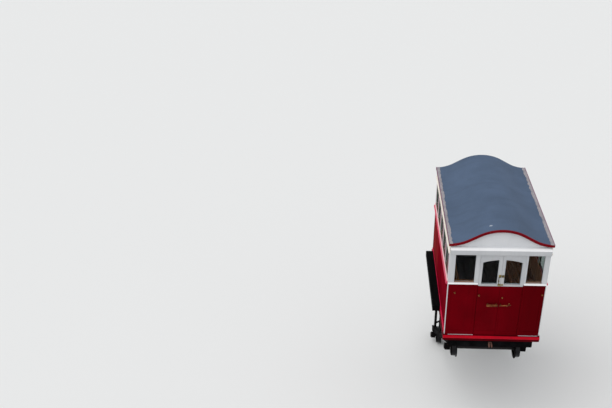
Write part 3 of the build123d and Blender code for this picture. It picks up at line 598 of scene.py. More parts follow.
def grow(name, start, tree, settings, body, nodes=(), smooth=25, soften=0.0):
    # Runs a tree on a mesh and keeps the result as a plain piece
    source = bpy.data.objects.new(name + "Source", start)
    bpy.context.scene.collection.objects.link(source)
    modifier = source.modifiers.new("grow", "NODES")
    modifier.node_group = tree
    sockets = {item.name: item.identifier for item in tree.interface.items_tree if item.in_out == "INPUT"}
    for label, value in settings.items():
        modifier[sockets[label]] = value
    evaluated = source.evaluated_get(bpy.context.evaluated_depsgraph_get())
    made = bpy.data.meshes.new_from_object(evaluated)
    finishes = list(made.materials)
    shape = bmesh.new()
    shape.from_mesh(made)
    if soften:
        easeEdges(shape, shape.verts, soften)
    source.modifiers.clear()
    bpy.data.objects.remove(source)
    bpy.data.meshes.remove(made)
    return finishPiece(shape, name, finishes, body, nodes, smooth)


def addHeads(name, points, finish, radius=0.012, height=0.007, sides=10, rounding=0.55):
    # Heads on the car; each point has a place and the direction that its head faces
    mesh = bpy.data.meshes.new(name)
    mesh.from_pydata([place for place, direction in points], [], [])
    facing = mesh.attributes.new("facing", "FLOAT_VECTOR", "POINT")
    for item, (place, direction) in zip(facing.data, points):
        item.vector = direction
    settings = {"Radius": radius, "Height": height, "Sides": sides, "Rounding": rounding, "Finish": finish}
    grow(name, mesh, trees["fasteners"], settings, "car")


def addBoards(name, count, start, step, board, finish, seed, soften=0.002, nodes=()):
    # A row of boards in the car, from the middle of the first one
    grow(name, bpy.data.meshes.new(name), trees["boards"],
         {"Count": count, "Start": start, "Step": step, "Board": board, "Seed": seed, "Finish": finish},
         "car", nodes, soften=soften)


# CAD nodes that keep their shape get eased, worn edges

plainNodes = {  # the paint, the slot and the width of the worn edge
    "side_panel_left": ("litSideCrimson", "crimson_paint", 0.003),
    "side_panel_right": ("litSideCrimson", "crimson_paint", 0.003),
    "end_panels_uphill": ("crimson", "crimson_paint", 0.002),
    "end_panels_downhill": ("crimson", "crimson_paint", 0.002),
    "end_frame_uphill": ("white", "white_paint", 0.004),
    "end_frame_downhill": ("white", "white_paint", 0.004),
    "side_frame_left": ("white", "white_paint", 0.004),
    "side_frame_right": ("white", "white_paint", 0.004),
    "cantrail_left": ("cream", "white_paint", 0.005),
    "cantrail_right": ("cream", "white_paint", 0.005),
    "gables": ("gable", "white_paint", 0.002),
    "bottom_beams": ("shadowRed", "red_paint", 0.006),
}
for node, (key, slot, edge) in plainNodes.items():
    finishPiece(nodeShape(node, edge), node + "_painted", [painted[key]], bodyOf[node], [node])

for end in ends:
    node = "cornice_" + end
    shape = nodeShape(node, 0.004)
    # Faces of the cornice that point upwards take the lighter paint as a painted highlight; the rest take
    # the greyer one as painted shade
    for face in shape.faces:
        face.normal_update()
        if face.normal.z > 0.6:
            face.material_index = 1
    finishPiece(shape, node + "_painted", [painted["cornice"], painted["ledgeHighlight"]], "car",
                [node])

weatheredNodes = {
    "wedge_frame_left": (blackSteel, 0.004), "wedge_frame_right": (blackSteel, 0.004),
    "frame_diagonals": (blackSteel, 0.002), "transoms": (blackSteel, 0.004),
    "headstock": (blackSteel, 0.004), "tank_bearers": (blackSteel, 0.004), "water_tank": (blackSteel, 0.008),
    "footboard_brackets": (blackSteel, 0.002), "axle_boxes": (shadedCastIron, 0.006),
}
for node, (finish, edge) in weatheredNodes.items():
    finishPiece(nodeShape(node, edge), node + "_weathered", [finish], "car", [node])
for side in sides:
    node = "footboard_" + side
    finishPiece(nodeShape(node, 0.005), node + "_weathered", [shadeBlackBoards], "car", [node])
shackle = nodeShape("rope_shackle", 0.004)
finishPiece(shackle, "rope_shackle_forged", [rustySteel], "car", ["rope_shackle"])
for node, finish in {"floor_joists": deckBoards, "axle_uphill": axleSteel, "axle_downhill": axleSteel,
                     "tank_pipes": shadedCastIron, "end_glass": endGlass}.items():
    coatNode(node, finish)
print("CAD nodes dressed")


# Doors

door = {
    "thickness": 0.040, "sideGap": 0.004, "bead": 0.014, "beadProud": 0.004, "beadDrop": 0.012,
    "drip": 0.012, "dripProud": 0.010, "railFoot": 0.152, "rail": 0.100, "railProud": 0.004,
    "arch": 1.177, "archTop": 2.014,
    # Across the car: the hinge edge, the meeting edge, and the widths of the stiles at each
    "leaves": {"left": (-0.362, 0.067, 0.050, 0.073), "right": (0.503, 0.073, 0.061, 0.051)},
}
doorPaints = [painted["doorWhite"], painted["crimson"]]


def doorArch(x):
    return door["archTop"] - door["arch"] + math.sqrt(door["arch"] ** 2 - (x - doorCentre) ** 2)


def paneOutline(left, right, inset=0.0, steps=8):
    # The arched outline of a door's window, seen from outside
    foot = heights["doorSill"] + inset
    top = [right - inset - (right - left - 2 * inset) * index / steps for index in range(steps + 1)]
    return [(left + inset, foot), (right - inset, foot)] + [(x, doorArch(x) - inset) for x in top]


for end in ends:
    place = atEnd(end)
    for side, (hingeEdge, meetingEdge, outerStile, meetingStile) in door["leaves"].items():
        node = "door_" + end + "_" + side
        inward = 1 if hingeEdge < meetingEdge else -1
        shape = nodeShape(node, 0.0015)
        cutShape(shape, (0, 0, zBase + heights["doorWaist"]), (0, 0, 1))
        for face in shape.faces:
            if face.calc_center_median().z < zBase + heights["doorWaist"]:
                face.material_index = 1
        left, right = sorted((hingeEdge + inward * outerStile, meetingEdge - inward * meetingStile))
        low, high = sorted((hingeEdge + inward * door["sideGap"], meetingEdge))
        outline = paneOutline(left, right)
        beadEdge = outline[:2] + [(x, z - door["beadDrop"]) for x, z in outline[2:]]
        for near, far in ((0.008, -door["beadProud"]),
                          (door["thickness"] - 0.0005, door["thickness"] + door["beadProud"])):
            addRing(shape, paneOutline(left, right, -door["bead"]), beadEdge, near, far, place)
        foot = heights["doorWaist"] - 0.004
        addBlock(shape, (low, -door["dripProud"], foot), (high, 0, foot + door["drip"]), place, 0.003)
        foot = door["railFoot"]
        addBlock(shape, (low, -door["railProud"], foot), (high, 0, foot + door["rail"]), place, 0.0015, 1)
        finishPiece(shape, node + "_painted", doorPaints, bodyOf[node], [node])
        coatNode("door_glass_" + end + "_" + side, endGlass)

# A cover strip and a tongue on the right leaf narrow the gap between the leaves, and strips on the frame
# those at the hinges; each is white above the doors' waist and crimson below it
coverStrip = {"left": 0.0705, "right": 0.098, "proud": 0.006, "head": 2.118, "foot": 0.256}
tongue = {"depth": 0.034, "foot": 0.160}
hingeFill = {"clear": 0.002, "gap": 0.0062, "depth": 0.034, "head": 2.120, "foot": 0.150}
for end in ends:
    place = atEnd(end)
    waist, head = heights["doorWaist"], coverStrip["head"]
    left, right, proud = coverStrip["left"], coverStrip["right"], coverStrip["proud"]
    shape = bmesh.new()
    addBlock(shape, (left, -proud, waist + 0.012), (right, 0, head), place, 0.002)
    addBlock(shape, (left, -proud, coverStrip["foot"]), (right, 0, waist - 0.006), place, 0.002, 1)
    right, depth = door["leaves"]["right"][1], tongue["depth"]
    addBlock(shape, (left, 0.0005, waist), (right, depth, head), place, 0.0005)
    addBlock(shape, (left, 0.0005, tongue["foot"]), (right, depth, waist - 0.0005), place, 0.0005, 1)
    body = bodyOf["door_" + end + "_right"]
    finishPiece(shape, "door_cover_strip_" + end, doorPaints, body)
    shape = bmesh.new()
    for hingeEdge, meetingEdge, outerStile, meetingStile in door["leaves"].values():
        outward = -1 if hingeEdge < meetingEdge else 1
        near, far = hingeEdge + outward * hingeFill["clear"], hingeEdge + outward * hingeFill["gap"]
        for foot, head, front, finish in ((waist, hingeFill["head"], 0.004, 0),
                                          (hingeFill["foot"], waist - 0.0005, 0.020, 1)):
            addBlock(shape, (near, front, foot), (far, hingeFill["depth"], head), place, 0.0005, finish)
    finishPiece(shape, "door_frame_strips_" + end, doorPaints, "car")

# Brass: pull bars in two halves, a latch with its bolt, and small knobs
pull = {
    "height": 0.930, "front": 0.054, "thick": 0.014, "stem": 0.0085, "ease": 0.004, "stemFromEnd": 0.032,
    # From where to where across the car, the bar's height, its rise along its length, and its roses' radius
    "left": (-0.173, 0.063, 0.054, 0.0, 0.022), "right": (0.077, 0.313, 0.026, 0.075, 0.016),
}
latch = {  # the rod's place and radius; each plate's corners across and up, and how far it stands out
    "rod": ((0.022, -0.010, 1.588), (0.022, -0.010, 1.420), 0.0060),
    "left": ((0.014, 1.588, 0.0655, 1.650, 0.009), (0.010, 1.500, 0.036, 1.514, 0.016),
             (0.010, 1.398, 0.0655, 1.434, 0.026)),
    "right": ((0.0745, 1.592, 0.120, 1.646, 0.013), (0.0745, 1.400, 0.116, 1.432, 0.013)),
}
knobs = {  # across, up, size and brass of those on the leaves; the two hooks are on the end frame
    "left": ((-0.330, 1.150, 1.15, 0), (0.040, 1.620, 0.7, 1)), "right": ((0.130, 1.100, 0.85, 0),),
    "hooks": ((-0.810, 1.200), (0.900, 1.190)),
}
bosses = {  # the shallow turned buttons on the bars: across, up, and their turning
    "left": (0.037, 0.0, [(0.0, 0.0), (0.024, 0.0), (0.024, 0.006), (0.017, 0.012), (0.0, 0.014)], 24),
    "right": (0.232, 0.006, [(0.0, 0.0), (0.018, 0.0), (0.020, 0.008), (0.012, 0.014), (0.0, 0.016)], 20),
}


def barOutline(start, stop, height, rise):
    # A long plate with round ends, rising a little along its length
    points = []
    radius = height / 2
    for centre, first in ((stop - radius, -90), (start + radius, 90)):
        for index in range(9):
            angle = math.radians(first + index * 22.5)
            points.append((centre + math.cos(angle) * radius, math.sin(angle) * radius))
    return [(x, z + rise * (x - start)) for x, z in points]


def addKnob(shape, x, z, place, size=1.0, finish=0, depth=0.0):
    # A turned brass knob on a round rose
    turned = [(0.0, 0.0), (0.019, 0.0), (0.019, 0.003), (0.008, 0.005), (0.006, 0.014), (0.013, 0.019),
              (0.016, 0.026), (0.013, 0.033), (0.0, 0.036)]
    sized = [(radius * size, height * size) for radius, height in turned]
    addTurned(shape, sized, standingOut(place, x, z, depth), 20, finish)


for end in ends:
    place = atEnd(end)
    for side in sides:
        start, stop, height, rise, rose = pull[side]
        node = "pull_bar_" + end + "_" + side
        shape = bmesh.new()
        outline = barOutline(start, stop, height, rise)
        points = [(x, -pull["front"], pull["height"] + z) for x, z in outline]
        addPrism(shape, points, (0, pull["thick"], 0), place, pull["ease"])
        thin = pull["stem"]
        stem = [(rose, -0.001), (rose, 0.004), (0.012, 0.007), (thin, 0.012), (thin, 0.034), (0.011, 0.041)]
        for x in (start + pull["stemFromEnd"], stop - pull["stemFromEnd"]):
            addTurned(shape, stem, standingOut(place, x, pull["height"] + rise * (x - start)), 20)
        x, up, turned, count = bosses[side]
        addTurned(shape, turned, standingOut(place, x, pull["height"] + up, 0.006 - pull["front"]), count)
        for x, z, size, finish in knobs[side]:
            addKnob(shape, x, z, place, size, finish)
        for left, foot, right, head, proud in latch[side]:
            addBlock(shape, (left, -proud, foot), (right, 0.0, head), place, 0.002, 1)
        if side == "left":
            top, bottom, radius = latch["rod"]
            addRod(shape, top, bottom, radius, 12, place, 1)
        finishPiece(shape, node + "_cast", [brownBrass, oliveBrass], bodyOf[node], [node])
    shape = bmesh.new()
    for x, z in knobs["hooks"]:
        addKnob(shape, x, z, place, depth=0.006)
    finishPiece(shape, "lamp_hooks_" + end, [brownBrass], "car")
print("doors ready")


# Roof

roof = {
    "halfWidth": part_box("roof_shell")[1].x, "slope": math.radians(30), "crownRadius": 0.886,
    "sheets": 4, "pitch": 0.878, "lap": 0.07, "rise": 0.003, "felt": 0.003, "inset": 0.0005,
    "feltEdge": {"uphill": 0.012, "downhill": 0.002}, "barge": 0.018, "bargeFoot": 0.053,
}
straight = (heights["crown"] - heights["eave"]) / math.tan(roof["slope"] / 2) - roof["halfWidth"]
bends = (roof["halfWidth"] - straight * math.cos(roof["slope"])) / math.sin(roof["slope"])
eaveRadius = bends - roof["crownRadius"]
crownCentre, eaveCentre = heights["crown"] - roof["crownRadius"], heights["eave"] + eaveRadius
roofStart, roofEnd = [corner.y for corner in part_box("barge_boards")]


def ogee(inset, steps=10):
    # The roof's section from the left eave to the right one, at an inset below its upper surface
    angles = [roof["slope"] * index / steps for index in range(steps + 1)]
    reach = roof["crownRadius"] - inset
    right = [(reach * math.sin(angle), crownCentre + reach * math.cos(angle)) for angle in angles]
    reach = eaveRadius + inset
    right += [(roof["halfWidth"] - reach * math.sin(angle), eaveCentre - reach * math.cos(angle))
              for angle in reversed(angles)]
    return [(-x, z) for x, z in reversed(right[1:])] + right


def onEave(sign, inwards, lift):
    # A point near an eave: how far in along the curve, and how high over it
    angle = inwards / eaveRadius
    reach = eaveRadius - lift
    x, z = roof["halfWidth"] - reach * math.sin(angle), eaveCentre - reach * math.cos(angle)
    return sign * x, zBase + z


def addShell(shape, upper, lower, start, stop, edge=0.0):
    # A closed band between two sections of the roof, from one place along the car to another
    addMoulding(shape, "Y", start, stop, upper + lower[::-1], fromBase, edge)


line = bpy.data.meshes.new("ogeeLine")
section = [(x, 0, z + zBase - roof["rise"]) for x, z in ogee(roof["inset"])]
line.from_pydata(section, [(index, index + 1) for index in range(len(section) - 1)], [])
felt = grow("roof_felt_sheets", line, trees["roof"], {
    "Sheets": roof["sheets"], "Pitch": roof["pitch"], "Lap": roof["lap"], "Rise": roof["rise"],
    "Thickness": roof["felt"], "Finish": feltFinish}, "car", ["roof_shell"], smooth=20)
# The sheets start on the uphill barge board, and the last one is cut above the downhill one
feltStart = min(vert.co.y for vert in felt.data.vertices)
felt.data.transform(Matrix.Translation((0, roofStart + roof["feltEdge"]["uphill"] - feltStart, 0)))
shape = bmesh.new()
shape.from_mesh(felt.data)
cut = cutShape(shape, (0, roofEnd - roof["feltEdge"]["downhill"], 0), (0, 1, 0), True)
bmesh.ops.edgeloop_fill(shape, edges=cut)
shape.to_mesh(felt.data)
shape.free()

shape = bmesh.new()
addShell(shape, ogee(0.0085), ogee(0.030), roofStart + roof["barge"], roofEnd - roof["barge"])
finishPiece(shape, "roof_boards", [lengthwise], "car")

shape = bmesh.new()
for start, head in ((roofStart, 0.0002), (roofEnd - roof["barge"], 0.0068)):
    addShell(shape, ogee(head, 16), ogee(roof["bargeFoot"], 16), start, start + roof["barge"], 0.0025)
finishPiece(shape, "barge_boards_painted", [painted["barge"]], "car", ["barge_boards"])

# Lead flashings dressed down over the eaves by hand, with an inner edge that wanders
flashing = {
    "width": 0.075, "start": roofStart + 0.001, "finish": roofEnd - 0.001, "lengths": 150, "across": 6,
    "lift": 0.0030, "wave": 0.0012, "edgeDrop": 0.0026, "skirt": 0.030, "nailPitch": 0.105, "nailIn": 0.038,
}
shape = bmesh.new()
draw = random.Random(11)
for sign in (-1, 1):
    rows = []
    wander = 0.0
    for index in range(flashing["lengths"] + 1):
        y = flashing["start"] + (flashing["finish"] - flashing["start"]) * index / flashing["lengths"]
        wander = 0.72 * wander + draw.uniform(-0.0110, 0.0085)
        skirt = flashing["skirt"] + 0.002 * draw.random()
        row = [(sign * (roof["halfWidth"] - 0.0005), y, zBase + heights["eave"] - skirt)]
        for step in range(flashing["across"] + 1):
            share = step / flashing["across"]
            lift = flashing["lift"]
            if share == 1:
                lift -= flashing["edgeDrop"]
            elif share > 0:
                lift += flashing["wave"] * math.sin(y * 41 + share * 3)
            x, z = onEave(sign, (flashing["width"] + wander) * share, lift)
            row.append((x, y, z))
        rows.append([shape.verts.new(point) for point in row])
    joinRows(shape, list(zip(*rows)), around=False)
finishPiece(shape, "eave_flashings_dressed", [leadFinish], "car", ["eave_flashings"],
            smooth=40)

# Painted fillets over the flashings' outer edges
fillet = {"width": 0.013, "lift": 0.0035, "thick": 0.004, "drop": 0.034}
shape = bmesh.new()
for sign in (-1, 1):
    edge, z = sign * roof["halfWidth"], heights["eave"]
    back, inner = edge - sign * fillet["thick"], edge - sign * fillet["width"]
    top = z + fillet["lift"] + fillet["thick"]
    profile = [(edge, z - fillet["drop"]), (edge, top), (inner, top), (inner, z + 0.001), (back, z + 0.001),
               (back, z - fillet["drop"])]
    addMoulding(shape, "Y", flashing["start"] + 0.001, flashing["finish"] - 0.001, profile, fromBase)
finishPiece(shape, "eave_fillets", [painted["eaveBrown"]], "car")

points = []
nailAngle = flashing["nailIn"] / eaveRadius
for sign in (-1, 1):
    x, z = onEave(sign, flashing["nailIn"], 0.003)
    for index in range(int((flashing["finish"] - flashing["start"]) / flashing["nailPitch"])):
        y = flashing["start"] + flashing["nailPitch"] * (index + 0.5)
        points.append(((x, y, z), (sign * math.sin(nailAngle), 0, math.cos(nailAngle))))
addHeads("flashing_nails", points, leadFinish, 0.006, 0.0025, 8)

points = []
for end in ends:
    place = atEnd(end)
    section = ogee(0.026, 14)
    for x, z in section[2:-1:3]:
        points.append((place @ Vector((x, -0.0225, z)), place.to_3x3() @ Vector((0, -1, 0))))
addHeads("barge_board_screws", points, painted["barge"], 0.006, 0.003, rounding=0.8)
print("roof ready")


# Joinery of the ends

endPanels = {
    "edges": ((-0.930, -0.370), (0.511, 0.930)), "bottomRail": 0.100, "topRail": 0.050, "stile": 0.046,
    "depth": 0.0065, "strip": (0.928, 0.943), "stripHead": 1.4155,
}
endBead = {"width": 0.014, "proud": 0.004}
waistDrip = {"half": 0.957, "fromDoor": 0.012, "proud": 0.022, "height": 0.026}
bedMould = {"half": 0.950, "fromDoor": 0.008, "proud": 0.009, "height": 0.020}
weathering = {"half": 0.959, "recess": 0.028, "head": 0.017}
for end in ends:
    place = atEnd(end)
    foot, head = heights["panelFoot"], heights["waist"]
    railHead, railFoot = foot + endPanels["bottomRail"], head - endPanels["topRail"]
    shape = bmesh.new()
    for left, right in endPanels["edges"]:
        for low, high in (((left, foot), (right, railHead)), ((left, railFoot), (right, head - 0.0005)),
                          ((left, railHead), (left + endPanels["stile"], railFoot)),
                          ((right - endPanels["stile"], railHead), (right, railFoot))):
            addBlock(shape, (low[0], -0.0005, low[1]), (high[0], endPanels["depth"], high[1]), place)
    near, far = endPanels["strip"]
    for sign in (-1, 1):
        addBlock(shape, (sign * near, -0.003, foot), (sign * far, 0.002, endPanels["stripHead"]), place)
    finishPiece(shape, "end_panel_rails_" + end, [painted["crimson"]], "car")

    shape = bmesh.new()
    for left, right in endWindows:
        window = (left, right, heights["sill"], heights["head"])
        outer = rectangle(*window, endBead["width"])
        addRing(shape, outer, rectangle(*window), 0.0005, -endBead["proud"], place)
    z, proud, half, gap = heights["waist"], waistDrip["proud"], waistDrip["half"], waistDrip["fromDoor"]
    profile = [(0, z - 0.004), (-proud, z - 0.001), (-proud, z + 0.007), (0, z + waistDrip["height"])]
    for left, right in ((-half, doorway[0] - gap), (doorway[1] + gap, half)):
        addMoulding(shape, "X", left, right, profile, place, 0.0015, 1)
    # The waist drips take the lighter ledge paint, a painted highlight on their white
    beadPaints = [painted["white"], painted["ledgeHighlight"]]
    finishPiece(shape, "end_window_beads_" + end, beadPaints, "car")

    # A narrow bed mould under each cornice, painted grey as the shadow that the cornice casts
    shape = bmesh.new()
    head, foot = heights["corniceFoot"], heights["corniceFoot"] - bedMould["height"]
    half, gap = bedMould["half"], bedMould["fromDoor"]
    profile = [(0, head), (-bedMould["proud"], head), (-0.002, foot), (0, foot)]
    for left, right in ((-half, doorway[0] - gap), (doorway[0] - gap / 2, doorway[1] + gap / 2),
                        (doorway[1] + gap, half)):
        addMoulding(shape, "X", left, right, profile, place)
    finishPiece(shape, "cornice_bed_mould_" + end, [painted["underCorniceShade"]], "car")

    shape = bmesh.new()
    z, half, back = heights["corniceTop"], weathering["half"], weathering["recess"]
    profile = [(-0.003, z - 0.001), (-0.003, z + 0.002), (back, z + weathering["head"]), (back, z - 0.001)]
    addMoulding(shape, "X", -half, half, profile, place, 0.0)
    finishPiece(shape, "gable_weathering_" + end, [painted["gable"]], "car")

    shape = bmesh.new()
    foot, head = heights["sill"] - 0.006, heights["sill"] + 0.010
    for left, right in endWindows:
        addBlock(shape, (left + 0.0005, 0.0005, foot), (right - 0.0005, 0.020, head), place, 0.003)
        addBlock(shape, (left - 0.03, 0.0485, foot - 0.034), (right + 0.03, 0.075, head), place, 0.004)
    finishPiece(shape, "end_sill_boards_" + end, [sillTimber], "car")

# Bottom beams: a board along the top of each end in a brighter red, a painted highlight over the beams'
# darker red painted shade, and pale worn strips beside the doors
beamBoard = {"half": 0.976, "foot": 0.068, "head": 0.132, "back": -0.019, "front": -0.038}
wornStrip = {"edges": ((-0.880, -0.370), (0.540, 0.930)), "foot": 0.1445, "head": 0.1480, "front": -0.0130}
shape, strips = bmesh.new(), bmesh.new()
for end in ends:
    half, back, front, foot, head = [beamBoard[key] for key in ("half", "back", "front", "foot", "head")]
    profile = [(back, foot), (front + 0.004, foot), (front, foot + 0.006), (front, head - 0.020),
               (back, head)]
    addMoulding(shape, "X", -half, half, profile, atEnd(end))
    for left, right in wornStrip["edges"]:
        addBlock(strips, (left, wornStrip["front"], wornStrip["foot"]), (right, -0.0005, wornStrip["head"]),
                 atEnd(end), 0.0010)
finishPiece(shape, "bottom_beam_boards", [painted["red"]], "car")
finishPiece(strips, "worn_sill_strips", [painted["white"]], "car")


# Joinery of the sides

sideWall = {"half": carLength / 2 - wall - 0.001, "windows": 5, "width": 0.5276, "pitch": 0.5976}
sidePanels = {"back": -0.007, "proud": 0.0115, "bottomRail": 0.096, "foot": 0.243, "head": 1.373,
              "endStile": 0.070, "stile": 0.044}
waistMould = {"foot": 1.372, "middle": 1.440, "head": 1.480}
cantrailDrip = {"foot": 2.128, "head": 2.168, "back": 0.011, "proud": 0.030}
sideBead = {"width": 0.016, "proud": 0.006, "lining": 0.013}
margin = {  # the glass of the corners, of the head and foot, of the two edges, and of the middle
    "width": 0.083, "came": 0.006, "glass": (-0.027, -0.022), "cameDepth": (-0.029, -0.020),
    "keys": (("amber", "rose"), ("green", "clear")),
}
middle = (sideWall["windows"] - 1) / 2
windowMiddles = [(index - middle) * sideWall["pitch"] for index in range(sideWall["windows"])]
for side in sides:
    place = atSide(side)
    half, back = sideWall["half"], sidePanels["back"]
    foot, railHead = heights["panelFoot"], heights["panelFoot"] + sidePanels["bottomRail"]
    shape = bmesh.new()
    profile = [(back, foot), (sidePanels["proud"], foot), (sidePanels["proud"], railHead - 0.018),
               (-0.004, railHead)]
    addMoulding(shape, "Y", -half, half, profile, place, finish=1)
    for start in (-half, half - sidePanels["endStile"]):
        addBlock(shape, (back, start, sidePanels["foot"]),
                 (0.0, start + sidePanels["endStile"], sidePanels["head"]), place)
    for middle in windowMiddles[:-1]:
        y = middle + sideWall["pitch"] / 2
        addBlock(shape, (back, y - sidePanels["stile"] / 2, sidePanels["foot"]),
                 (0.001, y + sidePanels["stile"] / 2, sidePanels["head"]), place)
    finishPiece(shape, "side_panel_rails_" + side, [painted["litSideCrimson"], painted["sideRed"]], "car")

    shape = bmesh.new()
    foot, middle, head = waistMould["foot"], waistMould["middle"], waistMould["head"]
    addMoulding(shape, "Y", -half, half, [(-0.007, foot), (0.028, foot + 0.006), (0.038, foot + 0.018),
                                          (0.038, foot + 0.034), (0.006, middle), (-0.007, middle)], place)
    addMoulding(shape, "Y", -half, half, [(-0.002, middle), (0.019, middle), (0.021, middle + 0.010),
                                          (0.004, head), (-0.002, head)], place, finish=1)
    finishPiece(shape, "side_waist_moulding_" + side, [painted["rose"], painted["paleRose"]], "car")

    shape = bmesh.new()
    across = place @ Matrix.Rotation(math.radians(90), 4, "Z")
    for y in windowMiddles:
        left, right = y - sideWall["width"] / 2, y + sideWall["width"] / 2
        outer = rectangle(left - sideBead["width"], right + sideBead["width"], heights["sill"] - 0.006,
                          heights["head"] + sideBead["width"])
        window = (left, right, heights["sill"], heights["head"])
        addRing(shape, outer, rectangle(*window), 0.0005, -sideBead["proud"], across)
        inner = rectangle(*window, -sideBead["lining"])
        addRing(shape, rectangle(*window), inner, 0.010, 0.0205, across, 1)
    beadPaints = [painted["paleMauve"], painted["moss"]]
    finishPiece(shape, "side_window_beads_" + side, beadPaints, "car")

    shape = bmesh.new()
    foot, proud = cantrailDrip["foot"], cantrailDrip["proud"]
    profile = [(cantrailDrip["back"], foot), (proud, foot + 0.003), (proud, foot + 0.014),
               (cantrailDrip["back"], cantrailDrip["head"])]
    addMoulding(shape, "Y", -carLength / 2, carLength / 2, profile, place)
    finishPiece(shape, "cantrail_drip_" + side, [painted["cream"]], "car")

    # Each side window is a clear pane with coloured margin lights, held in lead cames
    panes = {key: bmesh.new() for key in sideGlass}
    cames = bmesh.new()
    for y in windowMiddles:
        left, right = y - sideWall["width"] / 2, y + sideWall["width"] / 2
        ys = [left + 0.001, left + margin["width"], right - margin["width"], right - 0.001]
        zs = [heights["sill"] + 0.001, heights["sill"] + margin["width"], heights["head"] - margin["width"],
              heights["head"] - 0.001]
        inner, outer = margin["glass"]
        for column in range(3):
            for row in range(3):
                key = margin["keys"][row == 1][column == 1]
                addBlock(panes[key], (inner, ys[column] + 0.0005, zs[row] + 0.0005),
                         (outer, ys[column + 1] - 0.0005, zs[row + 1] - 0.0005), place, 0)
        inner, outer = margin["cameDepth"]
        thin = margin["came"] / 2
        for y in ys[1:3]:
            addBlock(cames, (inner, y - thin, zs[0]), (outer, y + thin, zs[3]), place, 0.001)
        inner, outer = inner - 0.0005, outer + 0.0005
        for z in zs[1:3]:
            addBlock(cames, (inner, ys[0], z - thin), (outer, ys[3], z + thin), place, 0.001)
    for key, shape in panes.items():
        replaced = ["side_glass"] if key == "clear" else []
        finishPiece(shape, "side_glass_" + key + "_" + side, [sideGlass[key]], "car",
                    replaced)
    finishPiece(cames, "side_glass_cames_" + side, [leadFinish], "car")
print("joinery ready")


# Inside the cabin

inside = {"x": halfWidth - wall, "start": faces["uphill"] + wall, "finish": faces["downhill"] - wall}
inside["length"] = inside["finish"] - inside["start"]
floorBoards = {"count": 17, "height": 0.130, "thick": 0.0295}
sideLining = {"count": 26, "height": 0.825, "long": 1.345, "thick": 0.010, "seed": {"left": 9, "right": 10}}
bench = {"seat": 0.575, "slats": 6, "slat": 0.022, "slatGap": 0.008, "nose": 0.034, "legs": 5, "leg": 0.044,
         "back": ((0.600, 0.740), (0.752, 0.892), (0.904, 1.043)), "backThick": 0.026, "rail": 0.075}
endLining = {"edges": ((-0.896, -0.374), (0.515, 0.896)), "board": 0.105, "foot": 0.150, "head": 1.468}
ribs = {"first": 0.33, "pitch": 0.60, "count": 5, "width": 0.040, "depth": 0.035}
handRails = {"x": 0.55, "height": 2.02, "radius": 0.014, "fromEnd": 0.10}

width = 2 * (inside["x"] - 0.010)
board = width / floorBoards["count"]
first = (board / 2 - width / 2, yMiddle, zBase + floorBoards["height"])
addBoards("floor_boards_laid", floorBoards["count"], first, (board, 0, 0),
          (board - 0.0002, inside["length"] - 0.004, floorBoards["thick"]), deckBoards, 7,
          nodes=["floor_boards"])
for side, sign in (("left", -1), ("right", 1)):
    board = (inside["length"] - 0.012) / sideLining["count"]
    first = (sign * (inside["x"] - 0.006), inside["start"] + 0.006 + board / 2,
             zBase + sideLining["height"])
    addBoards("side_lining_" + side, sideLining["count"], first, (0, board, 0),
              (sideLining["thick"], board - 0.0002, sideLining["long"]), varnished,
              sideLining["seed"][side])
    low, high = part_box("bench_" + side)
    front, back = sorted((low.x, high.x), key=abs)
    start, stop = low.y, high.y
    slatFoot, railFoot = bench["seat"] - bench["slat"], bench["seat"] - bench["rail"]
    slat = (abs(back - front) - bench["nose"]) / bench["slats"]
    first = (front + sign * slat / 2, yMiddle, zBase + bench["seat"] - bench["slat"] / 2)
    addBoards("bench_slats_" + side, bench["slats"], first, (sign * slat, 0, 0),
              (slat - bench["slatGap"], stop - start, bench["slat"]), lengthwise, 13,
              0.004, ["bench_" + side])
    shape = bmesh.new()
    for foot, head in bench["back"]:
        near = back - sign * bench["backThick"]
        addBlock(shape, (near, start, foot), (back, stop, head), fromBase, 0.005)
    for index in range(bench["legs"]):
        y = start + 0.06 + index * (stop - start - 0.12) / (bench["legs"] - 1)
        near, far = y - bench["leg"] / 2, y + bench["leg"] / 2
        addBlock(shape, (front + sign * 0.004, near, railFoot), (back, far, slatFoot), fromBase, 0.002)
        addBlock(shape, (front + sign * 0.045, near, 0.1455), (front + sign * 0.095, far, railFoot),
                 fromBase, 0.003)
    addBlock(shape, (front + sign * 0.040, start + 0.004, 0.180),
             (front + sign * 0.052, stop - 0.004, slatFoot), fromBase, 0.001)
    finishPiece(shape, "bench_frame_" + side, [lengthwise], "car")

for end in ends:
    shape = bmesh.new()
    draw = random.Random(21)
    shade = shape.verts.layers.float.new("boardShade")
    for left, right in endLining["edges"]:
        boards = round((right - left) / endLining["board"])
        step = (right - left) / boards
        for index in range(boards):
            before = set(shape.verts)
            addBlock(shape, (left + step * index + 0.001, 0.0485, endLining["foot"]),
                     (left + step * (index + 1) - 0.001, 0.0585, endLining["head"]), atEnd(end))
            value = draw.random()
            for vert in set(shape.verts) - before:
                vert[shade] = value
    finishPiece(shape, "end_lining_" + end, [varnished], "car")

shape = bmesh.new()
hung = [(x, z - 0.004) for x, z in ogee(0.046) if abs(x) < 0.905]
thicker = [(x, z + 0.006) for x, z in hung]
addShell(shape, hung, thicker, inside["start"] + 0.004, inside["finish"] - 0.004)
finishPiece(shape, "ceiling_boards", [painted["cream"]], "car")

shape = bmesh.new()
band = [(x, z - 0.005) for x, z in ogee(0.046) if abs(x) < 0.90]
lower = [(x, z - ribs["depth"]) for x, z in band]
for index in range(ribs["count"]):
    y = inside["start"] + ribs["first"] + index * ribs["pitch"]
    addShell(shape, band, lower, y, y + ribs["width"])
for x in (-handRails["x"], handRails["x"]):
    start, stop = inside["start"] + handRails["fromEnd"], inside["finish"] - handRails["fromEnd"]
    z = handRails["height"]
    addRod(shape, (x, start, z), (x, stop, z), handRails["radius"], 14, fromBase)
finishPiece(shape, "roof_ribs_and_rails", [lengthwise], "car")
print("cabin ready")


# Wheels

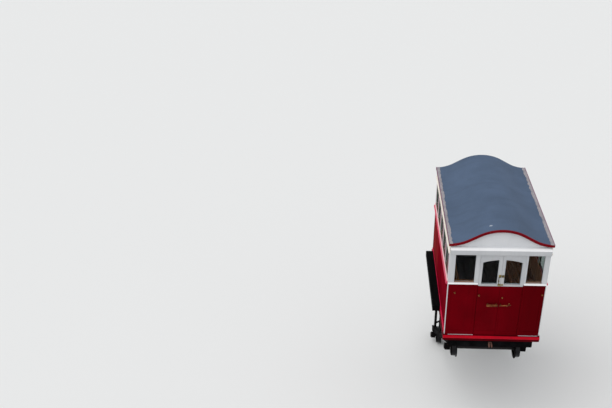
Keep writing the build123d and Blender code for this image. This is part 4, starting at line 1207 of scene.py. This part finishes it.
wheel = {
    "back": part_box("wheels_uphill")[1].x - 0.120, "middle": 0.056,
    # Radius and height over the back: flange, fillet, tread and the rim's inner side; then the bored hub
    "rim": [(0.166, 0.003), (0.169, 0.0), (0.219, 0.0), (0.2245, 0.003), (0.226, 0.008), (0.2252, 0.013),
            (0.221, 0.018), (0.210, 0.0235), (0.2035, 0.027), (0.200, 0.0325), (0.1985, 0.070),
            (0.1965, 0.106), (0.1935, 0.1115), (0.170, 0.112), (0.166, 0.109)],
    "polished": (6, 12),  # the points between which the rails polish the tread; its steel is darkened as painted shade
    "hub": [(0.0465, 0.0), (0.070, 0.0), (0.0745, 0.004), (0.075, 0.030), (0.075, 0.090), (0.070, 0.114),
            (0.064, 0.120), (0.0465, 0.120)],
    "spokes": 6, "spokeFrom": 0.070, "spokeTo": 0.171, "spokeRoot": 0.050, "spokeTip": 0.036,
    "spokeDepth": 0.030,
}


def wheelPlaces(end):
    # Each wheel's place on its axle, with Z outwards from the back of its flange
    low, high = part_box("wheels_" + end)
    return [Matrix.Translation((sign * wheel["back"], (low.y + high.y) / 2, (low.z + high.z) / 2)) @
            Matrix.Rotation(sign * math.radians(90), 4, "Y") for sign in (-1, 1)]


def addSpoke(shape, place, steps=8, around=12):
    # An oval spoke that narrows outwards and flares into the hub and the rim
    rows = []
    angles = [math.radians(15 + 360 / around * index) for index in range(around)]
    for step in range(steps + 1):
        share = step / steps
        radius = wheel["spokeFrom"] + (wheel["spokeTo"] - wheel["spokeFrom"]) * share
        flare = 1 + 0.55 * max(0, (share - 0.72) / 0.28) ** 2 + 0.35 * max(0, (0.2 - share) / 0.2) ** 2
        half = (wheel["spokeRoot"] + (wheel["spokeTip"] - wheel["spokeRoot"]) * share) / 2 * flare
        thick = wheel["spokeDepth"] / 2
        ring = [(radius, half * math.cos(angle), thick * math.sin(angle)) for angle in angles]
        rows.append([shape.verts.new(place @ Vector(point)) for point in ring])
    joinRows(shape, rows)
    shape.faces.new(rows[0])
    shape.faces.new(rows[-1])


for end in ends:
    shape = bmesh.new()
    first, last = wheel["polished"]
    for place in wheelPlaces(end):
        rings = addRounds(shape, wheel["rim"], place, 72)
        joinRows(shape, rings[:first + 1])
        joinRows(shape, rings[first:last], finish=1)
        joinRows(shape, rings[last - 1:] + rings[:1])
        rings = addRounds(shape, wheel["hub"], place, 40)
        joinRows(shape, rings + rings[:1])
        for index in range(wheel["spokes"]):
            turn = Matrix.Rotation(2 * math.pi * index / wheel["spokes"], 4, "Z")
            addSpoke(shape, place @ Matrix.Translation((0, 0, wheel["middle"])) @ turn)
    finishPiece(shape, "wheels_cast_" + end, [shadedCastIron, shadedTreadSteel], bodyOf["wheels_" + end],
                ["wheels_" + end], smooth=35)
print("wheels ready")


# Rivets, bolts and plates of the underframe

gradient = 0.71
slope = math.atan(gradient)
along = Vector((0, math.cos(slope), -math.sin(slope)))
away = Vector((0, math.sin(slope), math.cos(slope)))
under = {"web": 0.800, "slopeLift": 0.272, "slopeChord": 0.150, "posts": (-0.575, 0.425, 1.385),
         "start": faces["uphill"] + 0.080, "finish": faces["downhill"] - 0.040,
         "tail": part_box("wedge_frame_right")[1].y, "chordRivets": 30, "topRivets": 26}


def spaced(start, stop, pitch):
    # Places at one pitch from a start to just before a stop
    return [start + pitch * index for index in range(math.ceil((stop - start) / pitch))]


rivets = []
for sign in (-1, 1):
    face, outward = sign * under["web"], (sign, 0, 0)
    for post in under["posts"]:
        for z in (zBase - 0.026, zBase - 0.074):
            for shift in (-0.026, 0.026):
                rivets.append(((face, post + shift, z), outward))
        middle = (under["slopeLift"] + under["slopeChord"] / 2) / math.cos(slope) - gradient * post
        for shift in (-0.095, -0.035, 0.035, 0.095):
            spot = Vector((face, post, middle)) + along * shift
            rivets.append((tuple(spot + away * 0.045), outward))
            rivets.append((tuple(spot - away * 0.045), outward))
    for index in range(under["chordRivets"]):
        run = -2.0 + (index + 0.5) * 3.9 / under["chordRivets"]
        spot = along * run + away * (under["slopeLift"] + under["slopeChord"] - 0.020)
        if under["start"] + 0.03 < spot.y < under["tail"] - 0.06:
            rivets.append(((face, spot.y, spot.z), outward))
    for index in range(under["topRivets"]):
        length = under["finish"] - under["start"] - 0.08
        y = under["start"] + 0.04 + length * index / (under["topRivets"] - 1)
        rivets.append(((face, y, zBase - 0.050), outward))
addHeads("frame_rivets", rivets, blackSteel, 0.011, 0.008)

tank = {"x": 0.550, "start": -0.615, "finish": 1.425, "top": zBase - 0.100, "foot": zBase - 1.050,
        "shallow": zBase - 0.340, "knee": 0.385, "seams": (-0.40, 0.02, 0.44, 0.93), "plate": 0.070,
        "plateThick": 0.006, "pitch": 0.050, "acrossPitch": 0.052}
rivets, plates = [], bmesh.new()
fall = (tank["shallow"] - tank["foot"]) / (tank["knee"] - tank["start"])
for sign in (-1, 1):
    web, outward = sign * tank["x"], (sign, 0, 0)
    face = sign * (tank["x"] + tank["plateThick"])
    for seam in tank["seams"]:
        foot = max(tank["foot"], tank["shallow"] - (seam - tank["start"]) * fall)
        addBlock(plates, (face, seam - tank["plate"] / 2, foot + 0.004),
                 (face - sign * 0.007, seam + tank["plate"] / 2, tank["top"] - 0.004))
        for z in spaced(foot + 0.03, tank["top"] - 0.02, tank["pitch"]):
            rivets.append(((face, seam - 0.018, z), outward))
            rivets.append(((face, seam + 0.018, z), outward))
    for start, z in ((tank["knee"], tank["foot"] + 0.025), (tank["start"], tank["top"] - 0.028)):
        for y in spaced(start + 0.03, tank["finish"] - 0.02, tank["pitch"]):
            rivets.append(((web, y, z), outward))
for x in [tank["acrossPitch"] * (index - 10) for index in range(21)]:
    rivets.append(((x, tank["start"], tank["top"] - 0.205), (0, -1, 0)))
    for z in (tank["foot"] + 0.03, tank["foot"] + 0.46, tank["top"] - 0.03):
        rivets.append(((x, tank["finish"], z), (0, 1, 0)))
addHeads("tank_rivets", rivets, blackSteel, 0.009, 0.006, 8)
finishPiece(plates, "tank_seam_plates", [blackSteel], "car")

boltRows = {
    "headstock": (-0.80, -0.70, -0.40, -0.16, 0.16, 0.40, 0.70, 0.80), "fromEdge": 0.045,
    "axleBoxFace": 0.865, "axleBoxRing": 0.040,
    "footboard": (1.005, 1.095), "footboardCount": 4, "footboardFromEnd": 0.085,
}
bolts = []
low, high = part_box("headstock")
for x in boltRows["headstock"]:
    for z in (low.z + boltRows["fromEdge"], high.z - boltRows["fromEdge"]):
        bolts.append(((x, low.y, z), (0, -1, 0)))
for end in ends:
    for place in wheelPlaces(end):
        x, y, z = place.translation
        sign = 1 if x > 0 else -1
        for turn in range(4):
            angle = math.radians(45 + 90 * turn)
            spot = (sign * boltRows["axleBoxFace"], y + boltRows["axleBoxRing"] * math.cos(angle),
                    z + boltRows["axleBoxRing"] * math.sin(angle))
            bolts.append((spot, (sign, 0, 0)))
low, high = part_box("footboard_right")
for index in range(boltRows["footboardCount"]):
    length = high.y - low.y - 2 * boltRows["footboardFromEnd"]
    y = low.y + boltRows["footboardFromEnd"] + index * length / (boltRows["footboardCount"] - 1)
    for sign in (-1, 1):
        for x in boltRows["footboard"]:
            bolts.append(((sign * x, y, high.z), (0, 0, 1)))
addHeads("frame_bolts", bolts, shadedCastIron, 0.013, 0.009, 6, 0.8)

# Iron nosing strips along the footboards
shape = bmesh.new()
for sign in (-1, 1):
    for start, stop in ((0.966, 0.974), (high.x - 0.012, high.x - 0.002)):
        addBlock(shape, (sign * start, low.y + 0.010, high.z - 0.0005),
                 (sign * stop, high.y - 0.010, high.z + 0.004), edge=0.001)
finishPiece(shape, "footboard_nosings", [blackSteel], "car")
print("underframe ready")


# Floor, light and camera

floorLook = {"colour": "#ececea", "half": 160.0}
mesh = bpy.data.meshes.new("studioFloor")
half, z = floorLook["half"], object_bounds()[0].z
corners = [(x, y, z) for x, y in rectangle(-half, half, -half, half)]
mesh.from_pydata(corners, [], [(0, 1, 2, 3)])
paper = startMaterial("paleStudioPaper")[0]  # matt paper: no gloss
endMaterial(paper, {"Base Color": colour(floorLook["colour"]), "Roughness": 0.95,
                    "Specular IOR Level": 0.1})
mesh.materials.append(paper)
floor = bpy.data.objects.new("studio_floor", mesh)
bpy.context.scene.collection.objects.link(floor)

light = {"sky": 0.62, "skyColour": "#f1f3f7", "sun": 1.50, "softness": 60, "from": (-0.45, -0.35, 1.0)}
world = bpy.data.worlds.new("studio")
bpy.context.scene.world = world
world.use_nodes = True
tree = world.node_tree
tree.nodes.clear()
sky = addNode(tree, "ShaderNodeBackground", {"Color": colour(light["skyColour"]), "Strength": light["sky"]})
white = addNode(tree, "ShaderNodeBackground", {"Color": (1, 1, 1, 1), "Strength": 1.0})
path = addNode(tree, "ShaderNodeLightPath", {}).outputs
mirrored = addNode(tree, "ShaderNodeMath", {0: path["Is Glossy Ray"], 1: path["Is Transmission Ray"]},
                   operation="MAXIMUM")
seen = addNode(tree, "ShaderNodeMath", {0: path["Is Camera Ray"], 1: mirrored}, operation="MAXIMUM")
shown = addNode(tree, "ShaderNodeMixShader", {0: seen, 1: sky, 2: white})
addNode(tree, "ShaderNodeOutputWorld", {"Surface": shown})
lamp = bpy.data.lights.new("softSun", "SUN")
lamp.energy = light["sun"]
lamp.angle = math.radians(light["softness"])
sun = bpy.data.objects.new("soft_sun", lamp)
bpy.context.scene.collection.objects.link(sun)
sun.rotation_euler = (-Vector(light["from"])).to_track_quat("-Z", "Y").to_euler()

# The camera that was fitted to the photo: its place, its turns in degrees, and its focal length in pixels
view = {"place": (-2.646, -14.086, 12.057), "pitch": 29.92, "yaw": 4.97, "roll": -1.86, "focal": 759.0,
        "pixels": 612.0, "sensor": 36.0}
yaw, pitch, roll = (math.radians(view[key]) for key in ("yaw", "pitch", "roll"))
forward = Vector((-math.sin(yaw) * math.cos(pitch), math.cos(yaw) * math.cos(pitch), -math.sin(pitch)))
level = Vector((math.cos(yaw), math.sin(yaw), 0))
upright = level.cross(forward)
right = math.cos(roll) * level + math.sin(roll) * upright
up = -math.sin(roll) * level + math.cos(roll) * upright
lens = bpy.data.cameras.new("photoCamera")
lens.sensor_width = view["sensor"]
lens.lens = view["focal"] / view["pixels"] * view["sensor"]
lens.clip_end = 400.0
camera = bpy.data.objects.new("photo_camera", lens)
bpy.context.scene.collection.objects.link(camera)
turn = Matrix((right, up, -forward)).transposed().to_4x4()
camera.matrix_world = Matrix.Translation(view["place"]) @ turn
bpy.context.scene.camera = camera
bpy.context.scene.view_settings.view_transform = "Standard"
